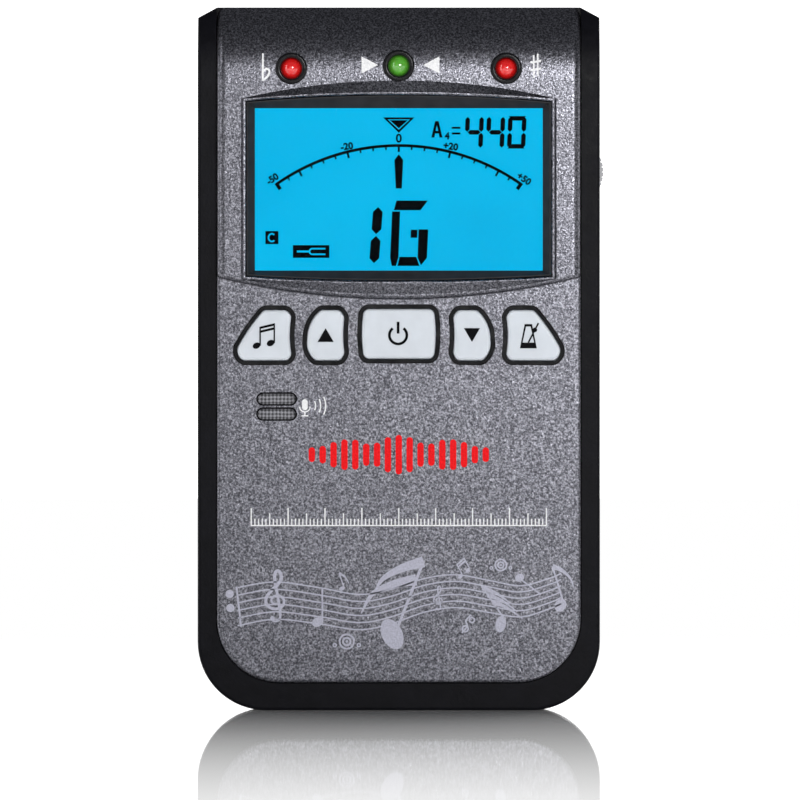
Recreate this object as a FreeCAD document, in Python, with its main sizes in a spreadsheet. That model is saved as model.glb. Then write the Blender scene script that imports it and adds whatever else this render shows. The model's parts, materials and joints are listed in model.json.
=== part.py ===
import FreeCAD, Part
import math
import os
import Sketcher
from FreeCAD import Placement, Rotation, Vector

# A handheld tuner and metronome, standing on its bottom edge. Millimetres.
# +X is the viewer's right, the front faces -Y, +Z is up, origin at the bottom centre.

doc = FreeCAD.newDocument("tuner")
sheet = doc.addObject("Spreadsheet::Sheet", "dims")

DRIVING = {
    # outer shell
    "half_wide": 30.0, "tall": 105.0, "crest_y": -8.5, "back_y": 8.5, "wall": 1.6,
    "corner_round": 10.2, "chamfer_wide": 2.85, "chamfer_high": 1.6, "strip_y": -6.1,
    "back_round": 2.2, "strip_round": 0.5, "lip_thick": 1.4, "seam": 0.1,
    # grey panel
    "panel_half": 27.15, "panel_low": 4.15, "panel_round": 9.4, "low_face_y": -6.9,
    "high_face_y": -7.9, "plate_back_y": -5.3, "roll_start": 94.0, "skirt_y": -2.4,
    "step_mid": 61.3, "step_side": 64.6, "block_round": 1.3, "panel_edge": 0.5,
    "step_round": 0.6, "rib_front_y": -5.35, "lamp_hollow_y": -3.6,
    "lamp_hollow_low": 97.0, "lamp_hollow_top": 102.6, "relief_top": 31.0,
    "pilot_y": -4.0, "post_hole_y": -4.2, "post_hole_rad": 0.7,
    # window
    "window_half": 22.7, "window_low_mid": 64.1, "window_low_side": 64.8,
    "window_top_mid": 91.7, "window_top_side": 90.7, "view_half": 21.45,
    "view_low": 65.6, "view_top": 89.8, "view_y": -6.7, "crest_land": 0.45,
    "crest_round": 0.25,
    "pad_half": 23.5, "pad_low_mid": 62.0, "pad_low_side": 64.3,
    "pad_top_mid": 93.9, "pad_top_side": 91.2,
    # display stack, measured from the glass's front face towards the board
    "glass_y": -5.9, "glass_half": 24.0, "glass_low": 61.9, "glass_top": 92.6,
    "glass_thick": 1.1, "bezel_flange": 0.85, "bezel_thick": 0.5, "bezel_front": 0.25,
    "ledge": 2.2, "lens_setback": 0.15, "lens_margin": 0.55, "bay_gap": 0.3,
    # board
    "board_y": -1.2, "board_thick": 1.6, "board_half": 27.4, "board_low": 37.0,
    "board_top": 102.4,
    # lamps
    "lamp_x": 16.0, "lamp_side": 95.7, "lamp_mid": 96.1, "lamp_rad": 1.5,
    "collar_rad": 2.35, "collar_front_y": -8.35,
    # keys
    "key_low": 52.2, "key_top": 59.7, "key_front_y": -7.6, "key_crown": 0.45,
    "key_flange": 0.8, "key_flange_y": -4.55, "key_back_y": -3.9, "plunger_rad": 2.3,
    "plunger_end_y": -2.0, "web_thick": 1.0,
    "key_rim": 0.55, "key_fit": 0.12, "rim_front_y": -7.0, "key_corner": 0.9,
    # microphone
    "mic_x": -18.2, "mic_z": 45.33, "slot_long": 5.65, "slot_high": 1.55,
    "slot_pitch": 2.25, "capsule_rad": 3.0, "capsule_front_y": -4.8, "capsule_back_y": -2.1,
    "cloth_half": 4.1, "cloth_front_y": -6.1, "cloth_back_y": -5.8,
    # volume wheel
    "wheel_rad": 5.0, "wheel_out": 0.7, "wheel_z": 80.5, "wheel_front_y": 1.5,
    "wheel_thick": 2.4, "spindle_rad": 1.5,
    # sockets in the top edge
    "jack_x": 17.5, "jack_y": 3.1, "jack_bore": 1.8, "jack_deep": 13.0,
    # loudspeaker
    "speaker_z": 89.4, "speaker_rad": 10.0, "speaker_front_y": 2.6, "grille_pitch": 2.4,
    "grille_reach": 7.5, "grille_slot": 1.1,
    # batteries, size AAA
    "cell_rad": 5.25, "cell_long": 44.5, "cell_y": 1.6, "cell_low": 11.6,
    "cell_pitch": 11.0, "cell_tip": 24.75,
    # battery bay and door
    "bay_half": 25.2, "bay_low": 6.0, "bay_top": 28.2, "bay_floor_y": -3.8, "bay_wall": 1.2,
    "door_half": 23.4, "door_top": 30.5, "door_y": 7.1, "door_tongue": 0.9,
    "tongue_thick": 0.6, "tongue_top": 28.5,
    # stand
    "leg_half": 11.3, "leg_foot": 38.0, "hinge_z": 76.0, "hinge_y": 7.3,
    "leg_round": 1.2, "trunnion_rad": 0.9, "pocket_y": 5.9, "grip_deep": 0.4,
    # fasteners
    "screw_x": 24.6, "screw_top": 100.0, "screw_low_x": 21.0, "screw_low": 33.4,
    "screw_rad": 1.0, "boss_rad": 2.2, "boss_end_y": 2.1, "well_y": 3.6, "pin_pitch": 1.27,
    "post_x": 25.2, "post_low": 42.0, "post_top": 94.5, "post_rad": 1.7,
}
for row, (alias, length) in enumerate(DRIVING.items(), start=1):
    sheet.set(f"A{row}", alias)
    sheet.set(f"B{row}", str(length))
    sheet.setAlias(f"B{row}", alias)
doc.recompute()


class Size:
    """A length together with the spreadsheet expression that gives it."""

    def __init__(self, value, text):
        self.value = float(value)
        self.text = text

    def __add__(self, other):
        return joined(self, "+", other, self.value + plain(other))

    def __radd__(self, other):
        return joined(other, "+", self, plain(other) + self.value)

    def __sub__(self, other):
        return joined(self, "-", other, self.value - plain(other))

    def __rsub__(self, other):
        return joined(other, "-", self, plain(other) - self.value)

    def __mul__(self, other):
        return joined(self, "*", other, self.value * plain(other))

    def __rmul__(self, other):
        return joined(other, "*", self, plain(other) * self.value)

    def __truediv__(self, other):
        return joined(self, "/", other, self.value / plain(other))

    def __neg__(self):
        return Size(-self.value, f"(0 - {self.text})")


def plain(length):
    return length.value if isinstance(length, Size) else float(length)


def written(length):
    return length.text if isinstance(length, Size) else f"({float(length)!r})"


def joined(left, sign, right, value):
    return Size(value, f"({written(left)} {sign} {written(right)})")


def root(length):
    return Size(math.sqrt(length.value), f"sqrt({length.text})")


class Dims:
    """Reads a driving dimension by its alias."""

    def __getattr__(self, alias):
        return Size(sheet.get(alias), f"dims.{alias}")


d = Dims()
NODES = {}


# ---------------------------------------------------------------- building blocks

def bind(thing, prop, length):
    thing.setExpression(prop, written(length))


def locate(thing, x=0.0, y=0.0, z=0.0, rotation=Rotation()):
    thing.Placement = Placement(Vector(plain(x), plain(y), plain(z)), rotation)
    bind(thing, "Placement.Base.x", x)
    bind(thing, "Placement.Base.y", y)
    bind(thing, "Placement.Base.z", z)


def node(name, thing):
    """Marks a finished sub-part: its label names its file."""
    thing.Label = name
    NODES[name] = thing
    return thing


def box(name, x0, x1, y0, y1, z0, z1):
    block = doc.addObject("Part::Box", name)
    bind(block, "Length", x1 - x0)
    bind(block, "Width", y1 - y0)
    bind(block, "Height", z1 - z0)
    locate(block, x0, y0, z0)
    return block


AHEAD = -12.0                        # clear of the front
BEHIND = 12.0                        # clear of the back
BELOW = -1.0                         # clear of the bottom edge
FIT = 0.1                            # gap between parts that slide or lift out
SNUG = 0.05                          # gap between parts that are only laid together
ROUND_END = 1.0001                   # keeps a half-circle's arc just longer than its chord
ALONG_Y = Rotation(Vector(1, 0, 0), -90)
ALONG_X = Rotation(Vector(0, 1, 0), 90)
UPRIGHT = Rotation(Vector(1, 0, 0), 90)


def rod(name, radius, x, y0, y1, z):
    """A cylinder along Y from y0 to y1."""
    solid = doc.addObject("Part::Cylinder", name)
    bind(solid, "Radius", radius)
    bind(solid, "Height", y1 - y0)
    locate(solid, x, y0, z, ALONG_Y)
    return solid


def axle(name, radius, x0, x1, y, z):
    """A cylinder along X from x0 to x1."""
    solid = doc.addObject("Part::Cylinder", name)
    bind(solid, "Radius", radius)
    bind(solid, "Height", x1 - x0)
    locate(solid, x0, y, z, ALONG_X)
    return solid


def fuse(name, *shapes):
    whole = doc.addObject("Part::MultiFuse", name)
    whole.Shapes = list(shapes)
    whole.Refine = True
    return whole


def cut(name, base, *tools):
    tool = tools[0] if len(tools) == 1 else fuse(name + "_tools", *tools)
    whole = doc.addObject("Part::Cut", name)
    whole.Base = base
    whole.Tool = tool
    whole.Refine = True
    return whole


def common(name, left, right):
    whole = doc.addObject("Part::Common", name)
    whole.Base = left
    whole.Tool = right
    return whole


def arc_edge(start, end, radius):
    """A minor arc; a positive radius bulges to the right of the way from start to end."""
    way = end - start
    left = Vector(-way.y, way.x, 0).normalize() * (1 if radius > 0 else -1)
    depth = math.sqrt(max(radius ** 2 - (way.Length / 2) ** 2, 0.0))
    centre = (start + end) * 0.5 + left * depth
    return Part.Arc(start, centre - left * abs(radius), end)


def draw(sketch, corners):
    """Draws a closed outline. A corner is (x, y), or (x, y, radius) where its next edge is an arc."""
    points = [Vector(plain(corner[0]), plain(corner[1]), 0) for corner in corners]
    starts = []
    for index, corner in enumerate(corners):
        start, end = points[index], points[(index + 1) % len(points)]
        if len(corner) == 3:
            edge = arc_edge(start, end, plain(corner[2]))
        else:
            edge = Part.LineSegment(start, end)
        geometry = sketch.addGeometry(edge)
        forward = sketch.getPoint(geometry, 1).distanceToPoint(start) < 1e-6
        starts.append(1 if forward else 2)
    for index in range(len(corners)):
        follower = (index + 1) % len(corners)
        sketch.addConstraint(Sketcher.Constraint(
            "Coincident", index, 3 - starts[index], follower, starts[follower]))
    for index, corner in enumerate(corners):
        for kind, length, axis in (("DistanceX", corner[0], -2), ("DistanceY", corner[1], -1)):
            if abs(plain(length)) < 1e-9:
                sketch.addConstraint(Sketcher.Constraint("PointOnObject", index, starts[index], axis))
                continue
            number = sketch.addConstraint(Sketcher.Constraint(
                kind, -1, 1, index, starts[index], plain(length)))
            if isinstance(length, Size):
                sketch.setExpression(f"Constraints[{number}]", length.text)
        if len(corner) == 3:
            radius = corner[2] if plain(corner[2]) > 0 else -corner[2]
            number = sketch.addConstraint(Sketcher.Constraint("Radius", index, plain(radius)))
            if isinstance(radius, Size):
                sketch.setExpression(f"Constraints[{number}]", radius.text)
    return sketch


def front_sketch(name, corners, y=0.0):
    """An outline in X and Z, seen from the front, at depth y."""
    sketch = doc.addObject("Sketcher::SketchObject", name)
    locate(sketch, 0.0, y, 0.0, UPRIGHT)
    return draw(sketch, corners)


def side_sketch(name, corners):
    """An outline in Y and Z, on the plane x = 0."""
    sketch = doc.addObject("Sketcher::SketchObject", name)
    locate(sketch, rotation=Rotation(Vector(1, 1, 1), 120))
    return draw(sketch, corners)


def extrude(name, profile, start, end, way=Vector(0, 1, 0)):
    solid = doc.addObject("Part::Extrusion", name)
    solid.Base = profile
    solid.DirMode = "Custom"
    solid.Dir = way
    bind(solid, "LengthFwd", end)
    bind(solid, "LengthRev", -start)
    solid.Solid = True
    return solid


def grown(name, sketch, amount):
    """The outline moved outwards by amount, or inwards where it is negative."""
    outline = doc.addObject("Part::Offset2D", name)
    outline.Source = sketch
    bind(outline, "Value", amount)
    outline.Join = 0
    return outline


def mirrored(name, source):
    copy = doc.addObject("Part::Mirroring", name)
    copy.Source = source
    copy.Normal = Vector(1, 0, 0)
    return copy


def rounded(name, base, radius, wanted):
    """Rounds the edges of base for which wanted(edge) holds."""
    doc.recompute()
    solid = doc.addObject("Part::Fillet", name)
    solid.Base = base
    solid.Edges = [(number, plain(radius), plain(radius))
                   for number, edge in enumerate(base.Shape.Edges, start=1) if wanted(edge)]
    return solid


def lies(edge, x=None, y=None, z=None, slack=0.02):
    """True where the whole edge lies within the (low, high) ranges given."""
    limits = edge.BoundBox
    for bounds, low, high in ((x, limits.XMin, limits.XMax), (y, limits.YMin, limits.YMax),
                              (z, limits.ZMin, limits.ZMax)):
        if bounds and (low < plain(bounds[0]) - slack or high > plain(bounds[1]) + slack):
            return False
    return True


def runs_along_y(edge):
    limits = edge.BoundBox
    return limits.XLength < 1e-4 and limits.ZLength < 1e-4


def plane_of(body, role):
    for feature in body.Origin.OriginFeatures:
        if feature.Role == role:
            return feature
    raise ValueError(role)


def body_sketch(body, name, corners, role="XY_Plane"):
    sketch = body.newObject("Sketcher::SketchObject", name)
    sketch.AttachmentSupport = (plane_of(body, role), [""])
    sketch.MapMode = "FlatFace"
    return draw(sketch, corners)


def turned(name, profile, x=0.0, z=0.0):
    """A body turned about its own Y axis; the profile's corners are (radius, y)."""
    body = doc.addObject("PartDesign::Body", name)
    sketch = body_sketch(body, name + "_profile", profile)
    turn = body.newObject("PartDesign::Revolution", name + "_turn")
    turn.Profile = sketch
    turn.ReferenceAxis = (sketch, ["V_Axis"])
    turn.Angle = 360
    locate(body, x, 0.0, z)
    return body


def padded(name, corners, y0, y1):
    """A body made of one outline in X and Z, from y0 back to y1."""
    body = doc.addObject("PartDesign::Body", name)
    sketch = body_sketch(body, name + "_outline", corners, "XZ_Plane")
    pad = body.newObject("PartDesign::Pad", name + "_pad")
    pad.Profile = sketch
    bind(pad, "Length", y1 - y0)
    pad.Reversed = True
    locate(body, 0.0, y0, 0.0)
    return body


def rectangle(half, low, top):
    return [(-half, low), (half, low), (half, top), (-half, top)]


def bow_radius(half, rise):
    """Radius of the arc over a chord of twice half that rises by rise."""
    return (half * half + rise * rise) / (2 * rise)


# ---------------------------------------------------------------- shared outlines

def shell_corners(inset):
    """The outer outline of the shell, moved inwards by inset."""
    half = d.half_wide - inset
    low = 0.0 + inset
    turn = d.corner_round - inset
    slope = root(d.chamfer_wide * d.chamfer_wide + d.chamfer_high * d.chamfer_high)
    side_top = d.tall - d.chamfer_high - (slope - d.chamfer_high) / d.chamfer_wide * inset
    top_x = half - d.chamfer_wide + (
        d.chamfer_wide + d.chamfer_high - slope) / d.chamfer_high * inset
    return [(-half + turn, low), (half - turn, low, turn), (half, low + turn), (half, side_top),
            (top_x, d.tall - inset), (-top_x, d.tall - inset), (-half, side_top),
            (-half, low + turn, turn)]


def panel_corners(inset, top):
    """The grey panel's outline, moved inwards by inset and ended at top."""
    half = d.panel_half - inset
    low = d.panel_low + inset
    turn = d.panel_round - inset
    return [(-half + turn, low), (half - turn, low, turn), (half, low + turn), (half, top),
            (-half, top), (-half, low + turn, turn)]


def side_profile(name, front_y):
    """Side view of a shell whose front face rolls back to the top edge."""
    sweep = bow_radius_of_roll(front_y)
    beyond = d.back_y + 1
    return side_sketch(name, [(beyond, -1.0), (beyond, d.tall + 1), (d.skirt_y, d.tall + 1),
                              (d.skirt_y, d.tall, sweep), (front_y, d.roll_start), (front_y, -1.0)])


def bow_radius_of_roll(front_y):
    """The roll's radius: tangent to the front face, and through the top edge at the skirt."""
    fall = d.skirt_y - front_y
    rise = d.tall - d.roll_start
    return (fall * fall + rise * rise) / (2 * fall)


# ---------------------------------------------------------------- keys: shared outlines

TONE_KEY = [(-23.1, d.key_low), (-16.45, d.key_low), (-16.0, 53.1, -16.0), (-16.0, 58.8),
            (-16.7, d.key_top), (-20.1, d.key_top, 30.0), (-23.85, 54.4, 1.6)]
UP_KEY = [(-12.4, d.key_low), (-8.6, d.key_low), (-8.1, 53.3, -20.0), (-8.1, 58.7),
          (-8.8, d.key_top), (-11.6, d.key_top, 5.6), (-13.65, 55.3, 3.2)]
POWER_KEY = [(-5.1, 52.45), (5.1, 52.45), (5.3, 53.2, 22.0), (5.3, 59.1), (5.1, 59.85),
             (-5.1, 59.85), (-5.3, 59.1, 22.0), (-5.3, 53.2)]


def key_cap(name, corners, centre_x, centre_z):
    """A silicone key: cap, flange behind the rim plate, and a plunger above its contact."""
    outline = key_outline(name, corners)
    cap = extrude(name + "_cap", outline, d.key_front_y, d.key_flange_y + SNUG)
    front = rounded(name + "_crown", cap, d.key_crown,
                    lambda edge: lies(edge, y=(d.key_front_y,) * 2))
    flange = extrude(name + "_flange", grown(name + "_flange_line", outline, d.key_flange),
                     d.key_flange_y, d.key_back_y)
    plunger = rod(name + "_plunger", d.plunger_rad, centre_x, d.key_back_y - FIT,
                  d.plunger_end_y, centre_z)
    return fuse(name + "_whole", front, flange, plunger)


def key_outline(name, corners):
    """A key's outline with its corners rounded: shrunk by their radius, then grown by it."""
    line = front_sketch(name + "_line", corners)
    return grown(name + "_outline", grown(name + "_shrunk", line, -d.key_corner), d.key_corner)


def key_hole(name, corners, gap, y0, y1):
    outline = key_outline(name, corners)
    return extrude(name + "_block", grown(name + "_grown", outline, gap), y0, y1)


KEYS = (("key_tone", TONE_KEY, -19.6, 55.6), ("key_up", UP_KEY, -10.9, 55.9),
        ("key_power", POWER_KEY, 0.0, 56.15))


def key_holes(prefix, gap, y0, y1):
    """Five key-shaped blocks, the right-hand pair mirrored from the left."""
    blocks = []
    for name, corners, _, _ in KEYS:
        blocks.append(key_hole(f"{prefix}_{name}", corners, gap, y0, y1))
    blocks.append(mirrored(f"{prefix}_key_down", blocks[1]))
    blocks.append(mirrored(f"{prefix}_key_mode", blocks[0]))
    return blocks


# ---------------------------------------------------------------- front cover

def window_corners(out):
    """The arched window outline, moved outwards by out."""
    half = d.window_half + out
    low_bow = bow_radius(half, d.window_low_side - d.window_low_mid)
    top_bow = bow_radius(half, d.window_top_mid - d.window_top_side)
    return [(-half, d.window_low_side - out, low_bow), (half, d.window_low_side - out),
            (half, d.window_top_side + out, top_bow), (-half, d.window_top_side + out)]


def pad_corners():
    low_bow = bow_radius(d.pad_half, d.pad_low_side - d.pad_low_mid)
    top_bow = bow_radius(d.pad_half, d.pad_top_mid - d.pad_top_side)
    return [(-d.pad_half, d.pad_low_side, low_bow), (d.pad_half, d.pad_low_side),
            (d.pad_half, d.pad_top_side, top_bow), (-d.pad_half, d.pad_top_side)]


def at_side(edge, y, z=None):
    """True for an edge on the panel's left or right side."""
    return any(lies(edge, x=(d.panel_half * side,) * 2, y=y, z=z) for side in (-1, 1))


def front_cover():
    hidden_top = 90.0                # the lower panel ends behind the display block
    lower_line = front_sketch("cover_lower_line", panel_corners(0.0, hidden_top))
    lower = extrude("cover_lower", lower_line, d.low_face_y, d.skirt_y)
    face = (d.low_face_y, d.low_face_y)
    lower = rounded("cover_lower_edge", lower, d.panel_edge, lambda edge: (
        lies(edge, y=face, z=(0, hidden_top - FIT)) or at_side(edge, face)))

    step_bow = bow_radius(d.panel_half, d.step_side - d.step_mid)
    block_line = front_sketch("cover_block_line", [
        (-d.panel_half, d.step_side, step_bow), (d.panel_half, d.step_side),
        (d.panel_half, d.tall), (-d.panel_half, d.tall)])
    block = extrude("cover_block_raw", block_line, d.high_face_y, d.skirt_y)
    profile = extrude("cover_roll", side_profile("cover_roll_line", d.high_face_y),
                      -d.half_wide, d.half_wide, Vector(1, 0, 0))
    block = common("cover_block", block, profile)
    sides = (d.high_face_y, d.skirt_y - FIT)
    block = rounded("cover_block_sides", block, d.block_round, lambda edge: (
        at_side(edge, sides, (d.step_mid, d.tall)) and edge.BoundBox.ZLength > 5))
    block = rounded("cover_block_foot", block, d.step_round, lambda edge: lies(
        edge, y=(d.high_face_y,) * 2, z=(d.step_mid, d.step_side)) and edge.Length > 40)

    pad_base = front_sketch("pad_base", pad_corners(), d.high_face_y)
    pad_crest = front_sketch("pad_crest", window_corners(d.crest_land), d.crest_y)
    pad = doc.addObject("Part::Loft", "window_pad")
    pad.Sections = [pad_base, pad_crest]
    pad.Solid = True
    pad.Ruled = True

    solid = fuse("cover_solid", lower, block, pad)
    window = extrude("cover_window", front_sketch("cover_window_line", window_corners(SNUG)),
                     AHEAD, 0.0)
    window_seat = extrude("cover_window_seat", front_sketch(
        "cover_window_seat_line", window_corners(d.bezel_flange + FIT)),
        d.glass_y - d.bezel_thick - SNUG, 0.0)
    hollow = extrude("cover_hollow", front_sketch(
        "cover_hollow_line", panel_corners(d.wall, 98.0)), d.plate_back_y, 0.0)
    display_bay = box("cover_display_bay", -d.glass_half - d.bay_gap, d.glass_half + d.bay_gap,
                      d.glass_y - 2 * FIT, 0.0, d.glass_low - 2 * FIT, d.glass_top + 2 * FIT)
    top_hollow = box("cover_top_hollow", -d.panel_half + d.wall, d.panel_half - d.wall,
                     d.lamp_hollow_y, 0.0, d.lamp_hollow_low, d.lamp_hollow_top)
    bay_relief = box("cover_bay_relief", -d.half_wide, d.half_wide, d.plate_back_y, 0.0, 0.0,
                     d.relief_top)
    reach = d.cloth_half + FIT
    cloth_seat = box("cover_cloth_seat", d.mic_x - reach, d.mic_x + reach, d.cloth_front_y, 0.0,
                     d.mic_z - d.capsule_rad - FIT, d.mic_z + d.capsule_rad + FIT)
    solid = cut("cover_shell", solid, window, window_seat, hollow, display_bay, top_hollow,
                bay_relief, cloth_seat)
    brim = d.window_half + FIT
    solid = rounded("cover_window_edge", solid, d.crest_round, lambda edge: lies(
        edge, x=(-brim, brim), y=(d.crest_y,) * 2))

    bosses, pilots = [], []
    for side in (-1, 1):
        for name, x, z, root_y in (("top", d.screw_x, d.screw_top, d.lamp_hollow_y - 0.5),
                                   ("low", d.screw_low_x, d.screw_low, d.rib_front_y)):
            bosses.append(rod(f"cover_boss_{name}_{side}", d.boss_rad, x * side, root_y,
                              d.boss_end_y, z))
            pilots.append(rod(f"cover_pilot_{name}_{side}", d.screw_rad, x * side, d.pilot_y,
                              BEHIND, z))
        for name, z in (("low", d.post_low), ("top", d.post_top)):
            bosses.append(rod(f"cover_post_{name}_{side}", d.post_rad, d.post_x * side,
                              d.rib_front_y, d.board_y, z))
            pilots.append(rod(f"cover_post_hole_{name}_{side}", d.post_hole_rad, d.post_x * side,
                              d.post_hole_y, BEHIND, z))
    solid = fuse("cover_bossed", solid, *bosses)

    openings = key_holes("cover", d.key_rim + d.key_fit + SNUG, AHEAD, 0.0)
    for name, x, z in lamps():
        openings.append(rod(f"cover_{name}_hole", d.collar_rad - 0.35, x, AHEAD, 0.0, z))
        openings.append(rod(f"cover_{name}_seat", d.collar_rad + 0.03, x, AHEAD, d.low_face_y, z))
    for index in (-0.5, 0.5):
        level = d.mic_z + d.slot_pitch * index
        half = d.slot_long / 2 - d.slot_high / 2
        tip = d.slot_high / 2
        line = [(d.mic_x - half, level - tip), (d.mic_x + half, level - tip, tip * ROUND_END),
                (d.mic_x + half, level + tip), (d.mic_x - half, level + tip, tip * ROUND_END)]
        openings.append(extrude(f"cover_slot_{index}", front_sketch(
            f"cover_slot_line_{index}", line), AHEAD, 0.0))
    return node("front_cover", cut("front_cover_whole", solid, *openings, *pilots))


def lamps():
    return (("flat", -d.lamp_x, d.lamp_side), ("in_tune", 0.0, d.lamp_mid),
            ("sharp", d.lamp_x, d.lamp_side))


# ---------------------------------------------------------------- rear cover and battery door

def outer_shell(name):
    """The rear shell's outer form, solid: strips in front, rounded back edges."""
    line = front_sketch(name + "_line", shell_corners(0.0))
    block = extrude(name + "_block", line, d.strip_y, d.back_y)
    profile = extrude(name + "_roll", side_profile(name + "_roll_line", d.strip_y),
                      -d.half_wide - 1, d.half_wide + 1, Vector(1, 0, 0))
    solid = common(name + "_raw", block, profile)
    solid = rounded(name + "_back", solid, d.back_round,
                    lambda edge: lies(edge, y=(d.back_y,) * 2))
    return rounded(name + "_front", solid, d.strip_round,
                   lambda edge: lies(edge, y=(d.strip_y,) * 2, z=(-1, 93.9)) or (
                       lies(edge, y=(d.strip_y,) * 2) and edge.BoundBox.ZLength > 50))


def rear_cover():
    shell = outer_shell("rear_outer")
    inner_line = front_sketch("rear_inner_line", shell_corners(d.wall))
    hollow = extrude("rear_hollow", inner_line, d.skirt_y, d.back_y - d.wall)
    front_hollow = common("rear_front_hollow", extrude("rear_front_block", front_sketch(
        "rear_front_line", shell_corners(d.wall)), d.strip_y + d.lip_thick, d.skirt_y + 0.5),
        box("rear_front_limit", -d.half_wide, d.half_wide, AHEAD, 0.0, 0.0, 96.0))
    mouth = extrude("rear_mouth", front_sketch(
        "rear_mouth_line", panel_corners(-d.seam, d.tall + 5)), AHEAD, d.skirt_y + d.seam)
    shell = cut("rear_shell", shell, hollow, front_hollow, mouth)

    bay_side = d.bay_half + d.bay_wall
    lid_y = d.door_y - FIT
    tub = box("bay_tub", -bay_side, bay_side, d.bay_floor_y - 1.0, lid_y, d.bay_low - d.bay_wall,
              d.bay_top + d.bay_wall)
    ledge = box("bay_ledge", -bay_side, bay_side, lid_y - d.bay_wall, lid_y, 0.9, d.door_top + 1.1)
    ledge = common("bay_ledge_trimmed", ledge, extrude("bay_ledge_limit", front_sketch(
        "bay_ledge_line", shell_corners(d.wall / 2)), AHEAD, BEHIND))
    pocket_block = box("stand_block", -d.leg_half - 2.0, d.leg_half + 2.0, d.pocket_y - 1.0, 7.0,
                       35.8, 79.0)
    added = [tub, ledge, pocket_block]
    removed = [
        box("bay_room", -d.bay_half, d.bay_half, d.bay_floor_y, d.door_y, d.bay_low, d.bay_top),
        box("door_room", -d.door_half - FIT, d.door_half + FIT, lid_y, BEHIND, BELOW,
            d.door_top + FIT),
        box("door_groove", -d.door_half - d.door_tongue - FIT, d.door_half + d.door_tongue + FIT,
            lid_y, d.door_y + d.tongue_thick + FIT, BELOW, d.tongue_top + FIT),
        box("stand_pocket", -d.leg_half - 0.3, d.leg_half + 0.3, d.pocket_y, BEHIND,
            d.leg_foot - 0.8, d.hinge_z + 1.6),
        axle("stand_bore", d.trunnion_rad + SNUG, -d.leg_half - 1.0 - FIT, d.leg_half + 1.0 + FIT,
             d.hinge_y, d.hinge_z),
        box("stand_notch", -5.0, 5.0, 7.5, BEHIND, 34.0, d.leg_foot),
        rod("wheel_slot", d.wheel_rad + 0.3, wheel_x(), d.wheel_front_y - 0.2,
            d.wheel_front_y + d.wheel_thick + 0.2, d.wheel_z),
    ]
    for side in (-1, 1):
        for name, x, z in (("top", d.screw_x, d.screw_top), ("low", d.screw_low_x, d.screw_low)):
            added.append(rod(f"rear_boss_{name}_{side}", d.boss_rad + 0.3, x * side,
                             d.boss_end_y + FIT, d.back_y - d.wall + FIT, z))
            removed.append(rod(f"rear_well_{name}_{side}", d.boss_rad - SNUG, x * side, d.well_y,
                               BEHIND, z))
            removed.append(rod(f"rear_clear_{name}_{side}", d.screw_rad + 0.15, x * side, 0.0,
                               d.well_y + 1.0, z))
        removed.append(upright_rod(f"rear_jack_hole_{side}", 2.6, d.jack_x * side, d.jack_y, 102.0,
                                   106.0))
    for row in range(-2, 3):
        level = d.speaker_z + d.grille_pitch * row
        reach = d.grille_reach - 0.9 * abs(row)
        removed.append(box(f"grille_{row}", -reach, reach, d.back_y - d.wall - 0.9, BEHIND,
                           level - d.grille_slot / 2, level + d.grille_slot / 2))
    solid = fuse("rear_built", shell, *added)
    return node("rear_cover", cut("rear_cover_whole", solid, *removed))


def upright_rod(name, radius, x, y, z0, z1):
    solid = doc.addObject("Part::Cylinder", name)
    bind(solid, "Radius", radius)
    bind(solid, "Height", z1 - z0)
    locate(solid, x, y, z0)
    return solid


def battery_door():
    plate = common("door_plate", outer_shell("door_outer"), box(
        "door_plate_limit", -d.door_half, d.door_half, d.door_y, BEHIND, BELOW, d.door_top))
    tongues = box("door_tongues", -d.door_half - d.door_tongue, d.door_half + d.door_tongue,
                  d.door_y, d.door_y + d.tongue_thick, 3.0, d.tongue_top)
    solid = fuse("door_built", plate, tongues)
    grip_low, grip_pitch, grip_high = 20.0, 1.6, 0.7
    grips = [box(f"door_grip_{row}", -7.0, 7.0, d.back_y - d.grip_deep, BEHIND,
                 grip_low + row * grip_pitch, grip_low + row * grip_pitch + grip_high)
             for row in range(5)]
    return node("battery_door", cut("battery_door_whole", solid, *grips))


# ---------------------------------------------------------------- display

def display_bezel():
    wall_line = front_sketch("bezel_wall_line", window_corners(-SNUG))
    frame = extrude("bezel_frame", wall_line, d.crest_y + d.bezel_front, d.glass_y)
    flange = extrude("bezel_flange", front_sketch(
        "bezel_flange_line", window_corners(d.bezel_flange)), d.glass_y - d.bezel_thick, d.glass_y)
    mouth_line = front_sketch("bezel_mouth_line", window_corners(-0.2),
                              d.crest_y + d.bezel_front - 0.01)
    view_line = front_sketch("bezel_view_line", rectangle(d.view_half, d.view_low, d.view_top),
                             d.view_y)
    slopes = doc.addObject("Part::Loft", "bezel_slopes")
    slopes.Sections = [mouth_line, view_line]
    slopes.Solid = True
    slopes.Ruled = True
    view = box("bezel_view", -d.view_half, d.view_half, d.view_y - 0.01, 0.0, d.view_low, d.view_top)
    margin = d.lens_margin + SNUG
    seat = box("bezel_lens_seat", -d.view_half - margin, d.view_half + margin,
               d.view_y + d.lens_setback, 0.0, d.view_low - margin, d.view_top + margin)
    return node("display_bezel", cut("display_bezel_whole", fuse("bezel_built", frame, flange),
                                     slopes, view, seat))


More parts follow.
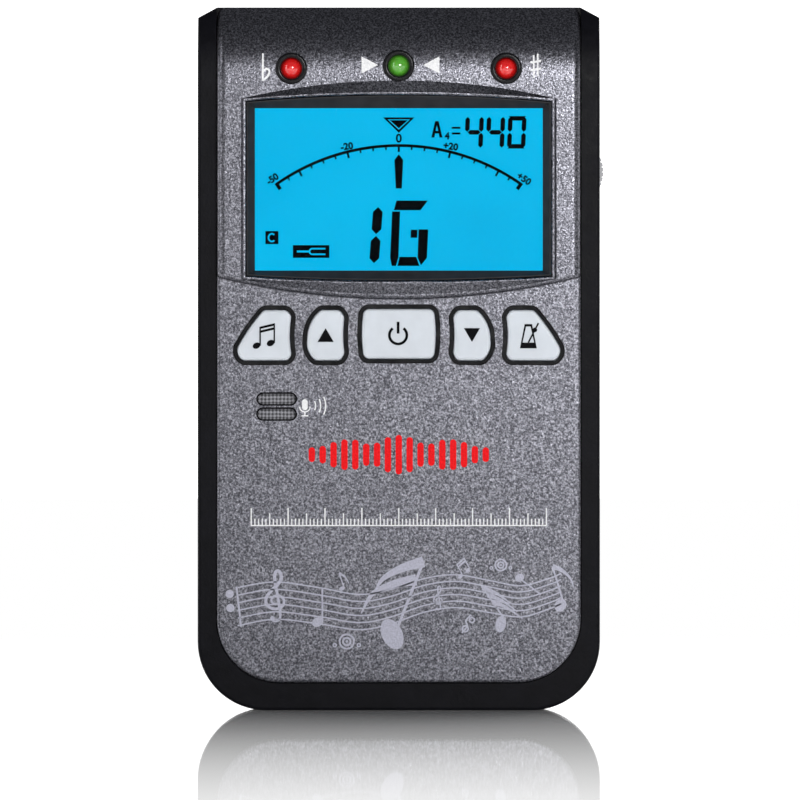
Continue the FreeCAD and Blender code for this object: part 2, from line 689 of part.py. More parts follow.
def display_stack():
    lens = padded("display_lens", rectangle(
        d.view_half + d.lens_margin, d.view_low - d.lens_margin, d.view_top + d.lens_margin),
        d.view_y + d.lens_setback, d.glass_y - 0.01)
    node("display_lens", lens)

    # the front plate of the glass overhangs the rear one by the contact ledge
    front_plate = box("glass_front", -d.glass_half, d.glass_half, d.glass_y,
                      d.glass_y + d.glass_thick, d.glass_low, d.glass_top)
    rear_low = d.glass_low + d.ledge
    rear_plate = box("glass_rear", -d.glass_half, d.glass_half, d.glass_y + d.glass_thick,
                     d.glass_y + d.glass_thick * 2, rear_low, d.glass_top)
    node("lcd_glass", fuse("lcd_glass_whole", front_plate, rear_plate))

    light = padded("lcd_backlight", rectangle(d.glass_half, rear_low, d.glass_top),
                   d.glass_y + d.glass_thick * 2, d.board_y)
    node("lcd_backlight", light)

    strip = padded("lcd_connector", rectangle(d.glass_half - 2, d.glass_low + 0.2, rear_low - 0.2),
                   d.glass_y + d.glass_thick, d.board_y)
    node("lcd_connector", strip)


def lamp_set():
    tip = d.crest_y + 0.05
    shoulder = tip + d.lamp_rad
    flange_y = d.board_y - 1.8
    base_y = d.board_y - 0.9
    brim = d.lamp_rad + 0.35
    lamp = [(0.0, tip, -d.lamp_rad * ROUND_END), (d.lamp_rad, shoulder), (d.lamp_rad, flange_y),
            (brim, flange_y), (brim, base_y), (0.0, base_y)]
    collars = []
    for name, x, z in lamps():
        bulb = turned(f"led_{name}_bulb", lamp, x, z)
        leads = [rod(f"led_{name}_lead_{side}", 0.25, x + d.pin_pitch * side, base_y - 0.3,
                     d.board_y + 1.5, z) for side in (-1, 1)]
        node(f"led_{name}", fuse(f"led_{name}_whole", bulb, *leads))
        rim = d.collar_rad
        bore = d.lamp_rad + 0.06
        curl = 0.35
        sleeve_y = d.rib_front_y - SNUG
        collars.append(turned(f"collar_{name}", [
            (bore, d.collar_front_y + curl, curl), (bore + curl, d.collar_front_y),
            (rim - curl, d.collar_front_y, curl), (rim, d.collar_front_y + curl),
            (rim, d.low_face_y - 0.01), (rim - 0.4, d.low_face_y - 0.01), (rim - 0.4, sleeve_y),
            (bore, sleeve_y)], x, z))
    node("led_collars", compound("led_collars_group", collars))


def compound(name, members):
    """Identical loose pieces that share one node, each its own solid."""
    group = doc.addObject("Part::Compound", name)
    group.Links = members
    return group


# ---------------------------------------------------------------- keys and keypad

def keypad():
    whole = {}
    for name, corners, x, z in KEYS:
        whole[name] = node(name, key_cap(name, corners, x, z))
    node("key_down", mirrored("key_down_whole", whole["key_up"]))
    node("key_mode", mirrored("key_mode_whole", whole["key_tone"]))

    sheet_half = d.panel_half - 1.8
    plate_end = d.key_flange_y - 0.15
    plate = box("rim_plate", -sheet_half, sheet_half, d.plate_back_y, plate_end,
                d.key_low - 1.8, d.key_top + 1.5)
    rims = key_holes("rim", d.key_rim + d.key_fit, d.rim_front_y, plate_end - 0.3)
    holes = key_holes("rim_hole", d.key_fit, AHEAD, 0.0)
    node("key_bezel", cut("key_bezel_whole", fuse("rim_built", plate, *rims), *holes))

    web = box("web_sheet", -sheet_half, sheet_half, d.board_y - d.web_thick, d.board_y,
              d.key_low - 2.2, d.key_top + 1.9)
    spots = key_spots()
    web_holes = [rod(f"web_hole_{index}", d.plunger_rad + 0.6, x, d.key_back_y, 0.0, z)
                 for index, (x, z) in enumerate(spots)]
    node("keypad_web", cut("keypad_web_whole", web, *web_holes))
    pads = [rod(f"contact_pad_{index}", d.plunger_rad - 0.2, x, d.board_y - 0.06, d.board_y, z)
            for index, (x, z) in enumerate(spots)]
    node("contact_pads", compound("contact_pads_group", pads))


def key_spots():
    """Where the five plungers meet the board."""
    left = [(x, z) for _, _, x, z in KEYS]
    return left + [(-left[1][0], left[1][1]), (-left[0][0], left[0][1])]


# ---------------------------------------------------------------- board and what sits on it

def main_board():
    body = padded("main_board_raw", rectangle(d.board_half, d.board_low, d.board_top), d.board_y,
                  d.board_y + d.board_thick)
    holes = []
    near, far = -3.0, 3.0
    for side in (-1, 1):
        holes.append(rod(f"board_notch_{side}", d.boss_rad + 0.6, d.screw_x * side, near, far,
                         d.screw_top))
        holes.append(box(f"board_corner_{side}", side * 26.0 - 2.0, side * 26.0 + 2.0, near, far,
                         d.screw_top, d.tall))
        for name, z in (("low", d.post_low), ("top", d.post_top)):
            holes.append(rod(f"board_hole_{name}_{side}", 0.9, d.post_x * side, near, far, z))
        for name, x, z in lamps():
            holes.append(rod(f"board_{name}_{side}", 0.45, x + d.pin_pitch * side, near, far, z))
    node("main_board", cut("main_board_whole", body, *holes))

    rear = d.board_y + d.board_thick
    node("tuner_chip", rounded("tuner_chip_whole", box(
        "chip_block", -12.0, -2.0, rear, rear + 1.4, 53.0, 63.0), 0.4,
        lambda edge: lies(edge, y=(rear + 1.4,) * 2)))
    node("crystal", rounded("crystal_whole", box(
        "crystal_block", 4.0, 14.5, rear, rear + 3.4, 56.0, 60.4), 1.2, runs_along_y))


def microphone():
    half = d.cloth_half
    ring = d.capsule_rad
    node("mic_cloth", padded("mic_cloth", [
        (d.mic_x - half, d.mic_z - ring), (d.mic_x + half, d.mic_z - ring),
        (d.mic_x + half, d.mic_z + ring), (d.mic_x - half, d.mic_z + ring)],
        d.cloth_front_y, d.cloth_back_y))
    front = d.capsule_front_y
    dish = front + 0.3
    node("mic_capsule", turned("mic_capsule", [
        (0.0, front), (1.0, front), (1.0, dish), (ring - 0.3, dish), (ring - 0.3, front),
        (ring, front), (ring, d.capsule_back_y), (0.0, d.capsule_back_y)], d.mic_x, d.mic_z))
    boot_y = d.plate_back_y + 0.02
    node("mic_boot", turned("mic_boot", [
        (ring, boot_y), (ring + 1.1, boot_y), (ring + 1.1, d.board_y), (ring, d.board_y)],
        d.mic_x, d.mic_z))


def wheel_x():
    """The wheel's axis lies inside the wall, so that only its rim stands out of the side."""
    return d.half_wide + d.wheel_out - d.wheel_rad


def volume_control():
    x = wheel_x()
    rear = d.board_y + d.board_thick
    far = d.wheel_front_y + d.wheel_thick
    body_y = rear + 0.9
    pilot_y = body_y + 0.3
    pilot_rad = 0.62
    spindle = turned("volume_spindle", [
        (0.0, rear), (2.5, rear), (2.5, body_y), (d.spindle_rad, body_y),
        (d.spindle_rad, far - 0.3), (pilot_rad, far - 0.3), (pilot_rad, pilot_y), (0.0, pilot_y)],
        x, d.wheel_z)
    track = box("volume_track", x - 5.5, x + 1.5, rear, body_y, d.wheel_z - 4.0, d.wheel_z + 4.0)
    node("volume_pot", fuse("volume_pot_whole", spindle, track))

    bore = d.spindle_rad + SNUG
    bevel = 0.25
    groove_out, groove_in, groove_deep = 3.6, 2.6, 0.5
    wheel = turned("volume_wheel", [
        (bore, d.wheel_front_y), (d.wheel_rad - bevel, d.wheel_front_y),
        (d.wheel_rad, d.wheel_front_y + bevel), (d.wheel_rad, far - bevel),
        (d.wheel_rad - bevel, far), (groove_out, far), (groove_out, far - groove_deep),
        (groove_in, far - groove_deep), (groove_in, far), (bore, far)], x, d.wheel_z)
    doc.recompute()
    notch_sketch = body_sketch(wheel, "wheel_notch_line", [
        (d.wheel_rad - 0.3, 0.0), (d.wheel_rad + 0.3, -0.3), (d.wheel_rad + 0.3, 0.3)], "XZ_Plane")
    notch = wheel.newObject("PartDesign::Pocket", "wheel_notch")
    notch.Profile = notch_sketch
    notch.Type = "ThroughAll"
    notch.Midplane = True
    pattern = wheel.newObject("PartDesign::PolarPattern", "wheel_knurl")
    pattern.Originals = [notch]
    pattern.Axis = (plane_of(wheel, "Y_Axis"), [""])
    pattern.Angle = 360
    pattern.Occurrences = 40
    wheel.Tip = pattern
    node("volume_wheel", wheel)

    seat = far + 0.02
    crown = far + 0.8
    node("wheel_screw", turned("wheel_screw", [
        (0.0, pilot_y + FIT), (0.6, pilot_y + FIT), (0.6, seat), (1.9, seat),
        (1.9, crown - 0.3), (1.5, crown), (0.5, crown), (0.5, crown - 0.4), (0.0, crown - 0.4)],
        x, d.wheel_z))


def sockets():
    rear = d.board_y + d.board_thick
    for name, side in (("phones_jack", -1), ("pickup_jack", 1)):
        x = d.jack_x * side
        housing = box(f"{name}_housing", x - 3.0, x + 3.0, rear, 5.9, 90.5, d.tall - d.wall - FIT)
        nose = upright_rod(f"{name}_nose", 2.5, x, d.jack_y, 103.0, d.tall - 0.15)
        bore = upright_rod(f"{name}_bore", d.jack_bore, x, d.jack_y, d.tall - d.jack_deep,
                           d.tall + 1)
        node(name, cut(f"{name}_whole", fuse(f"{name}_built", housing, nose), bore))


def loudspeaker():
    reach = d.speaker_rad
    front = d.speaker_front_y
    rim_y = front + 3.7
    inner = d.back_y - d.wall
    node("speaker", turned("speaker", [
        (0.0, front), (5.5, front), (5.5, front + 1.6), (reach - 0.6, front + 2.4),
        (reach, front + 2.9), (reach, rim_y), (reach - 1.3, rim_y),
        (reach - 1.3, rim_y - 0.4), (3.2, front + 2.6), (0.0, front + 3.1)], 0.0, d.speaker_z))
    node("speaker_gasket", turned("speaker_gasket", [
        (reach - 1.2, rim_y), (reach, rim_y), (reach, inner), (reach - 1.2, inner)],
        0.0, d.speaker_z))


# ---------------------------------------------------------------- power

def batteries():
    tip_long, tip_rad = 0.8, 1.9
    for number, way in ((1, 1), (2, -1)):
        level = d.cell_low + d.cell_pitch * (number - 1)
        can = d.cell_long - tip_long
        cell = turned(f"battery_{number}", [
            (0.0, 0.0), (3.6, 0.0), (3.9, 0.25), (d.cell_rad - 0.4, 0.25), (d.cell_rad, 0.65),
            (d.cell_rad, can - 0.4), (d.cell_rad - 0.4, can), (tip_rad, can),
            (tip_rad, can + tip_long - 0.2), (tip_rad - 0.2, can + tip_long),
            (0.0, can + tip_long)])
        start = (d.cell_tip - d.cell_long) * way
        locate(cell, start, d.cell_y, level, Rotation(Vector(0, 0, 1), -90 * way))
        node(f"battery_{number}", cell)


def spring(name, x0, x1, level):
    """A wire spring along X between a contact plate and a cell."""
    wire_rad, coil_rad, turns = 0.3, 2.6, 3.5
    helix = doc.addObject("Part::Helix", name + "_line")
    bind(helix, "Radius", coil_rad)
    bind(helix, "Height", x1 - x0 - wire_rad * 2)
    bind(helix, "Pitch", (x1 - x0 - wire_rad * 2) / turns)
    section = doc.addObject("Part::Circle", name + "_section")
    section.Radius = wire_rad
    section.Placement = Placement(Vector(coil_rad, 0, 0), UPRIGHT)
    doc.recompute()
    coil = doc.addObject("Part::Sweep", name + "_coil")
    coil.Sections = [section]
    coil.Spine = (helix, ["Edge1"])
    coil.Solid = True
    coil.Frenet = True
    locate(coil, x0 + wire_rad, d.cell_y, level, ALONG_X)
    return coil


def battery_contacts():
    thick = 0.4
    gap = 0.06
    low, high = d.cell_low, d.cell_low + d.cell_pitch
    base = d.cell_tip - d.cell_long
    left = spring("spring_left", -d.bay_half + thick + gap, base - gap, low)
    right = spring("spring_right", -base + gap, d.bay_half - thick - gap, high)
    node("battery_springs", compound("battery_springs_group", [left, right]))
    half = 4.0
    front, rear = d.cell_y - half, d.cell_y + half
    plates = [
        box("plate_left", -d.bay_half, -d.bay_half + thick, front, rear, low - half, high + half),
        box("plate_right_low", d.bay_half - thick, d.bay_half, front, rear, low - half,
            low + half),
        box("plate_right_high", d.bay_half - thick, d.bay_half, front, rear, high - half,
            high + half)]
    node("battery_plates", compound("battery_plates_group", plates))


# ---------------------------------------------------------------- stand and fasteners

def stand_leg():
    low_y = d.hinge_y - d.leg_round
    plate = box("leg_plate", -d.leg_half, d.leg_half, low_y, d.back_y, d.leg_foot, d.hinge_z)
    barrel = axle("leg_barrel", d.leg_round, -d.leg_half, d.leg_half, d.hinge_y, d.hinge_z)
    pins = axle("leg_trunnions", d.trunnion_rad, -d.leg_half - 1.0, d.leg_half + 1.0, d.hinge_y,
                d.hinge_z)
    solid = fuse("leg_built", plate, barrel, pins)
    dish = box("leg_dish", -d.leg_half + 2.2, d.leg_half - 2.2, d.back_y - d.grip_deep * 1.5,
               BEHIND, d.leg_foot + 8, d.hinge_z - 5)
    grip_low, grip_pitch, grip_high = d.leg_foot + 1.6, 1.5, 0.7
    grips = [box(f"leg_grip_{row}", -5.0, 5.0, d.back_y - d.grip_deep, BEHIND,
                 grip_low + row * grip_pitch, grip_low + row * grip_pitch + grip_high)
             for row in range(3)]
    solid = cut("leg_cut", solid, dish, *grips)
    return node("stand_leg", rounded("stand_leg_whole", solid, 0.8, lambda edge: runs_along_y(
        edge) and lies(edge, z=(d.leg_foot,) * 2)))


def screw(name, x, z, head_y, head_rad, head_high, shank_rad, shank_end):
    """A pan-head screw driven from behind, with a round driving recess."""
    return turned(name, [
        (0.0, shank_end), (shank_rad - 0.3, shank_end), (shank_rad, shank_end + 0.5),
        (shank_rad, head_y), (head_rad, head_y), (head_rad, head_y + head_high - 0.4),
        (head_rad - 0.5, head_y + head_high), (0.7, head_y + head_high),
        (0.5, head_y + head_high - 0.6), (0.0, head_y + head_high - 0.6)], x, z)


def screws():
    case, board = [], []
    rear = d.board_y + d.board_thick
    for side in (-1, 1):
        for name, x, z in (("top", d.screw_x, d.screw_top), ("low", d.screw_low_x, d.screw_low)):
            case.append(screw(f"case_screw_{name}_{side}", x * side, z, d.well_y, 2.0, 1.3,
                              d.screw_rad - 0.02, -3.6))
        for name, z in (("low", d.post_low), ("top", d.post_top)):
            board.append(screw(f"board_screw_{name}_{side}", d.post_x * side, z, rear, 1.5, 0.9,
                               0.68, -3.8))
    node("case_screws", compound("case_screws_group", case))
    node("board_screws", compound("board_screws_group", board))


# ---------------------------------------------------------------- build, check and write

front_cover()
rear_cover()
battery_door()
display_bezel()
display_stack()
lamp_set()
keypad()
main_board()
microphone()
volume_control()
sockets()
loudspeaker()
batteries()
battery_contacts()
stand_leg()
screws()
doc.recompute()

for thing in doc.Objects:
    if "Invalid" in thing.State or "Error" in thing.State:
        raise RuntimeError(f"{thing.Name} failed: {thing.State}")
for name, thing in NODES.items():
    if thing.Shape.isNull() or not thing.Shape.isValid():
        raise RuntimeError(f"{name} has no valid shape")

os.makedirs("parts", exist_ok=True)
for name, thing in NODES.items():
    thing.Shape.exportStep(f"parts/{name}.step")
    print(f"{name}: {len(thing.Shape.Solids)} solid(s), {thing.Shape.Volume:.1f} mm3")
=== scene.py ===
import bmesh
import bpy
import json
import math
from mathutils import Matrix, Vector
from mathutils.geometry import tessellate_polygon

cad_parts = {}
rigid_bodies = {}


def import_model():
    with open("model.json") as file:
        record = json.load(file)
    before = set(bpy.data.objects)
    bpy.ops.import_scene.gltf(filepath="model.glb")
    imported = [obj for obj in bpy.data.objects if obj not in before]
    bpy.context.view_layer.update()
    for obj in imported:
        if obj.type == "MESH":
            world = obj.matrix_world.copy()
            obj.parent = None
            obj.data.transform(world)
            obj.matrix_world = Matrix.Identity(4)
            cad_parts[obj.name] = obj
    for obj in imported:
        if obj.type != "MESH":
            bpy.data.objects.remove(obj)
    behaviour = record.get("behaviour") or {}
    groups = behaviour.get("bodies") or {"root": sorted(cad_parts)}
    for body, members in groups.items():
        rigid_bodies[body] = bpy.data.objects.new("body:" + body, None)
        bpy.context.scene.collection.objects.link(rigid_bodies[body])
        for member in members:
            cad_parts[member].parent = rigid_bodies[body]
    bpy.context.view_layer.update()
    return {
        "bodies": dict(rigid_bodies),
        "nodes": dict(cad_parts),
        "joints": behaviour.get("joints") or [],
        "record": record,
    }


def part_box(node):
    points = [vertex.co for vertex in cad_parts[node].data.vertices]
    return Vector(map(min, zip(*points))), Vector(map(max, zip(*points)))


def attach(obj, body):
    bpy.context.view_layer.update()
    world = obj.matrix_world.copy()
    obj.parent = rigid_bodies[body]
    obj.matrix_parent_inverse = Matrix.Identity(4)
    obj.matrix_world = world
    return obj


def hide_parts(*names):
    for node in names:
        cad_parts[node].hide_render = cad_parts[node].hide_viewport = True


# Looks for a handheld tuner and metronome. Metres; lengths written in millimetres are times MM.
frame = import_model()
nodes = frame["nodes"]
scene = bpy.context.scene
MM = 0.001


def corner(node):
    """A CAD node's lowest and highest corners, in millimetres."""
    low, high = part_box(node)
    return low / MM, high / MM


PAD_Y = corner("front_cover")[0].y     # crest of the window pad
BLOCK_Y = PAD_Y + 0.6                  # flat of the display block
PLATE_Y = PAD_Y + 1.6                  # flat of the lower panel
GLASS_Y = corner("lcd_glass")[0].y     # front of the display glass
ROLL_START = 94.0                      # height where the block starts to roll back
ROLL_RADIUS = 13.75
LAMP_REACH = 16.0                      # side lamps, from the middle
LAMP_SIDE, LAMP_MIDDLE = 95.7, 96.1    # heights of the side lamps and the middle one
INK = 0.03                             # height of a printed film


# ---------------------------------------------------------------- camera, light and floor

def make_camera():
    data = bpy.data.cameras.new("camera")
    camera = bpy.data.objects.new("camera", data)
    scene.collection.objects.link(camera)
    distance, seen = 1.4, 0.1191
    data.sensor_width = 36.0
    data.lens = 36.0 * (distance + PAD_Y * MM) / seen
    camera.location = (0.00018, -distance, 0.0463)
    camera.rotation_euler = (math.radians(90), 0, 0)
    scene.camera = camera


def make_light(name, place, target, size, power, colour=(1, 1, 1)):
    data = bpy.data.lights.new(name, "AREA")
    data.shape = "RECTANGLE"
    data.size, data.size_y = size
    data.energy = power
    data.color = colour
    light = bpy.data.objects.new(name, data)
    light.location = place
    light.rotation_euler = (Vector(target) - Vector(place)).to_track_quat("-Z", "Y").to_euler()
    scene.collection.objects.link(light)


def make_world():
    world = bpy.data.worlds.new("studio")
    scene.world = world
    world.use_nodes = True
    sky = world.node_tree.nodes["Background"]
    sky.inputs["Color"].default_value = (0.9, 0.93, 1.0, 1)
    sky.inputs["Strength"].default_value = 0.10


def glow_material(name, strength):
    material = bpy.data.materials.new(name)
    material.use_nodes = True
    shader = material.node_tree.nodes["Principled BSDF"]
    shader.inputs["Base Color"].default_value = (0.8, 0.8, 0.8, 1)
    shader.inputs["Roughness"].default_value = 1.0
    shader.inputs["Specular IOR Level"].default_value = 0.0
    shader.inputs["Emission Color"].default_value = (1, 1, 1, 1)
    shader.inputs["Emission Strength"].default_value = strength
    return material


def floor_material():
    """Glossy near the middle, fading into plain white with distance."""
    near, far = 0.02, 0.42
    material = glow_material("floor_gloss", 0.02)
    tree = material.node_tree
    shader = tree.nodes["Principled BSDF"]
    shader.inputs["Roughness"].default_value = 0.02
    shader.inputs["Specular IOR Level"].default_value = 0.5
    place = tree.nodes.new("ShaderNodeTexCoord")
    reach = tree.nodes.new("ShaderNodeVectorMath")
    reach.operation = "LENGTH"
    fade = tree.nodes.new("ShaderNodeMapRange")
    fade.inputs["From Min"].default_value = near
    fade.inputs["From Max"].default_value = far
    white = tree.nodes.new("ShaderNodeEmission")
    blend = tree.nodes.new("ShaderNodeMixShader")
    tree.links.new(place.outputs["Object"], reach.inputs["Vector"])
    tree.links.new(reach.outputs["Value"], fade.inputs["Value"])
    tree.links.new(fade.outputs["Result"], blend.inputs["Fac"])
    tree.links.new(shader.outputs["BSDF"], blend.inputs[1])
    tree.links.new(white.outputs["Emission"], blend.inputs[2])
    tree.links.new(blend.outputs["Shader"], tree.nodes["Material Output"].inputs["Surface"])
    return material


def make_stage():
    """A pale floor, and a low white wall all round it. The half behind the camera isn't seen in
    reflections, so that it leaves no sheen on the front."""
    radius, height, sides = 3.0, 0.7, 96

    def on_ring(i, z):
        angle = 2 * math.pi * i / sides
        return (radius * math.cos(angle), radius * math.sin(angle), z)

    floor_mesh = bpy.data.meshes.new("floor")
    floor_mesh.from_pydata([on_ring(i, 0) for i in range(sides)], [], [tuple(range(sides))])
    floor_mesh.materials.append(floor_material())
    floor = bpy.data.objects.new("floor", floor_mesh)
    stage = [floor]
    white = glow_material("wall_white", 1.0)
    for name, first in (("wall_far", 0), ("wall_near", sides // 2)):
        steps = sides // 2
        mesh = bpy.data.meshes.new(name)
        mesh.from_pydata([on_ring(first + i, z) for z in (0, height) for i in range(steps + 1)], [],
                         [(i, i + 1, steps + i + 2, steps + i + 1) for i in range(steps)])
        mesh.materials.append(white)
        wall = bpy.data.objects.new(name, mesh)
        wall.visible_glossy = name == "wall_far"
        stage.append(wall)
    for thing in stage:
        scene.collection.objects.link(thing)


# ---------------------------------------------------------------- materials

class Shader:
    """A material's node tree, with short calls for what the finishes share."""

    def __init__(self, name, colour, roughness, metallic=0.0):
        self.material = bpy.data.materials.new(name)
        self.material.use_nodes = True
        self.tree = self.material.node_tree
        self.principled = self.tree.nodes["Principled BSDF"]
        self.set("Base Color", (*colour, 1))
        self.set("Roughness", roughness)
        self.set("Metallic", metallic)
        self.coordinates = self.tree.nodes.new("ShaderNodeTexCoord")

    def set(self, socket, value):
        self.principled.inputs[socket].default_value = value

    def noise(self, size_mm, detail=2.0, rough=0.5, stretch=(1, 1, 1)):
        mapping = self.tree.nodes.new("ShaderNodeMapping")
        mapping.inputs["Scale"].default_value = stretch
        self.tree.links.new(self.coordinates.outputs["Object"], mapping.inputs["Vector"])
        noise = self.tree.nodes.new("ShaderNodeTexNoise")
        noise.inputs["Scale"].default_value = 1 / (size_mm * MM)
        noise.inputs["Detail"].default_value = detail
        noise.inputs["Roughness"].default_value = rough
        self.tree.links.new(mapping.outputs["Vector"], noise.inputs["Vector"])
        return noise.outputs["Fac"]

    def ramp(self, source, stops):
        ramp = self.tree.nodes.new("ShaderNodeValToRGB")
        ramp.color_ramp.elements[0].position = stops[0][0]
        ramp.color_ramp.elements[1].position = stops[-1][0]
        ramp.color_ramp.elements[0].color = (*stops[0][1], 1)
        ramp.color_ramp.elements[1].color = (*stops[-1][1], 1)
        for place, colour in stops[1:-1]:
            ramp.color_ramp.elements.new(place).color = (*colour, 1)
        self.tree.links.new(source, ramp.inputs["Fac"])
        return ramp.outputs["Color"]

    def span(self, source, low, high, from_low=0.3, from_high=0.7):
        spread = self.tree.nodes.new("ShaderNodeMapRange")
        for socket, value in (("From Min", from_low), ("From Max", from_high), ("To Min", low),
                              ("To Max", high)):
            spread.inputs[socket].default_value = value
        self.tree.links.new(source, spread.inputs["Value"])
        return spread.outputs["Result"]

    def add(self, first, second, share=1.0):
        node = self.tree.nodes.new("ShaderNodeMath")
        node.operation = "MULTIPLY_ADD"
        node.inputs[1].default_value = share
        self.tree.links.new(second, node.inputs[0])
        self.tree.links.new(first, node.inputs[2])
        return node.outputs["Value"]

    def leather(self):
        """The case's grain, which prints follow too."""
        return self.add(self.noise(0.5, 3.0, 0.6), self.noise(0.22, 1.0, 0.5), 0.7)

    def bump(self, height, depth_mm, strength=1.0):
        bump = self.tree.nodes.new("ShaderNodeBump")
        bump.inputs["Distance"].default_value = depth_mm * MM
        bump.inputs["Strength"].default_value = strength
        self.tree.links.new(height, bump.inputs["Height"])
        self.tree.links.new(bump.outputs["Normal"], self.principled.inputs["Normal"])

    def feed(self, socket, source):
        self.tree.links.new(source, self.principled.inputs[socket])


def shades(colour, spread):
    """Ramp stops from a darker to a lighter shade of a colour."""
    dark = tuple(channel * (1 - spread) for channel in colour)
    light = tuple(min(1.0, channel * (1 + spread)) for channel in colour)
    return [(0.3, dark), (0.7, light)]


def grained_paint():
    """Metallic grey paint over a spark-eroded grain, with bright flakes."""
    shader = Shader("grained_paint", (0.3, 0.3, 0.32), 0.29, 0.96)
    shader.bump(shader.leather(), 0.05, 0.7)
    tone = shader.ramp(shader.noise(0.27, 2.0, 0.75), [
        (0.35, (0.055, 0.055, 0.065)), (0.5, (0.165, 0.165, 0.188)), (0.66, (0.40, 0.40, 0.45))])
    shader.feed("Base Color", tone)
    shader.feed("Roughness", shader.span(shader.noise(0.4), 0.27, 0.34))
    return shader.material


def moulded(name, colour, roughness, grain_mm, depth_mm, spread=0.15):
    """Moulded plastic with a fine grain and slight unevenness in colour and gloss."""
    shader = Shader(name, colour, roughness)
    shader.feed("Base Color", shader.ramp(shader.noise(grain_mm * 6), shades(colour, spread)))
    shader.feed("Roughness", shader.span(shader.noise(grain_mm * 3), roughness - 0.06,
                                         roughness + 0.08))
    shader.bump(shader.noise(grain_mm, 2.0, 0.55), depth_mm, 0.6)
    return shader


def clear_plastic():
    shader = Shader("clear_window", (1, 1, 1), 0.03)
    shader.set("Transmission Weight", 1.0)
    shader.set("IOR", 1.08)
    shader.feed("Roughness", shader.span(shader.noise(9.0), 0.0, 0.04))
    return shader.material


def lit_display():
    """Backlit glass: an even blue glow, a little uneven from the light guide."""
    shader = Shader("lit_display", (0.0, 0.02, 0.03), 0.25)
    shader.set("Specular IOR Level", 0.02)
    glow = shader.ramp(shader.noise(16.0, 1.0), [(0.3, (0.0006, 0.432, 0.775)),
                                                 (0.7, (0.0007, 0.475, 0.825))])
    shader.feed("Emission Color", glow)
    shader.set("Emission Strength", 1.0)
    return shader.material


def lamp_epoxy(name, colour, glow):
    shader = Shader(name, colour, 0.12)
    shader.set("Subsurface Weight", 0.35)
    shader.set("Subsurface Radius", (0.8, 0.25, 0.2))
    shader.set("Subsurface Scale", 0.001)
    shader.set("Coat Weight", 1.0)
    shader.set("Coat Roughness", 0.08)
    shader.set("Coat IOR", 1.8)
    shader.feed("Base Color", shader.ramp(shader.noise(1.2), shades(colour, 0.12)))
    shader.set("Emission Color", (*colour, 1))
    shader.set("Emission Strength", glow)
    return shader.material


def silicone():
    """Milky white silicone rubber."""
    shader = moulded("silicone", (0.66, 0.70, 0.75), 0.42, 0.35, 0.012, 0.03)
    shader.set("Subsurface Weight", 0.4)
    shader.set("Subsurface Radius", (1.0, 1.0, 1.0))
    shader.set("Subsurface Scale", 0.0012)
    shader.set("Coat Weight", 0.15)
    shader.set("Coat Roughness", 0.3)
    return shader.material


def ink(name, colour, roughness=0.5):
    """A printed film that follows the grain beneath it."""
    shader = Shader(name, colour, roughness)
    shader.set("Specular IOR Level", 0.12)
    shader.feed("Base Color", shader.ramp(shader.noise(0.3, 2.0, 0.7), shades(colour, 0.14)))
    shader.bump(shader.leather(), 0.1, 0.35)
    return shader.material


def flat_ink(name, colour):
    """A print on a smooth face, a little uneven in density."""
    shader = Shader(name, colour, 0.6)
    shader.set("Specular IOR Level", 0.02)
    shader.feed("Base Color", shader.ramp(shader.noise(1.5), shades(colour, 0.2)))
    shader.feed("Roughness", shader.span(shader.noise(0.8), 0.5, 0.7))
    return shader.material


def metal(name, colour, roughness, grain_mm=0.5, stretch=(1, 1, 6)):
    shader = Shader(name, colour, roughness, 1.0)
    shader.feed("Roughness", shader.span(shader.noise(grain_mm, 3.0, 0.6, stretch),
                                         roughness - 0.08, roughness + 0.1))
    shader.feed("Base Color", shader.ramp(shader.noise(grain_mm * 4), shades(colour, 0.08)))
    shader.bump(shader.noise(grain_mm * 0.5, 2.0, 0.5, stretch), 0.01, 0.4)
    return shader.material


def woven(name, colour, pitch_mm):
    """Fine cloth: two crossed waves make the weave."""
    shader = Shader(name, colour, 0.85)
    waves = []
    for direction in ("X", "Z"):
        wave = shader.tree.nodes.new("ShaderNodeTexWave")
        wave.bands_direction = direction
        wave.inputs["Scale"].default_value = 0.5 / (pitch_mm * MM) / math.pi
        wave.inputs["Distortion"].default_value = 1.5
        shader.tree.links.new(shader.coordinates.outputs["Object"], wave.inputs["Vector"])
        waves.append(wave.outputs["Fac"])
    weave = shader.add(waves[0], waves[1])
    shader.bump(weave, 0.08, 0.8)
    shader.feed("Base Color", shader.ramp(shader.span(weave, 0, 1, 0, 2), [
        (0.2, tuple(c * 0.4 for c in colour)), (0.8, tuple(min(1, c * 2.2) for c in colour))]))
    return shader.material


def striped_elastomer():
    shader = Shader("striped_elastomer", (0.2, 0.2, 0.21), 0.7)
    wave = shader.tree.nodes.new("ShaderNodeTexWave")
    wave.inputs["Scale"].default_value = 1 / (0.3 * MM) / math.pi
    shader.tree.links.new(shader.coordinates.outputs["Object"], wave.inputs["Vector"])
    shader.feed("Base Color", shader.ramp(wave.outputs["Fac"], [(0.4, (0.02, 0.02, 0.02)),
                                                                (0.6, (0.5, 0.45, 0.45))]))
    return shader.material


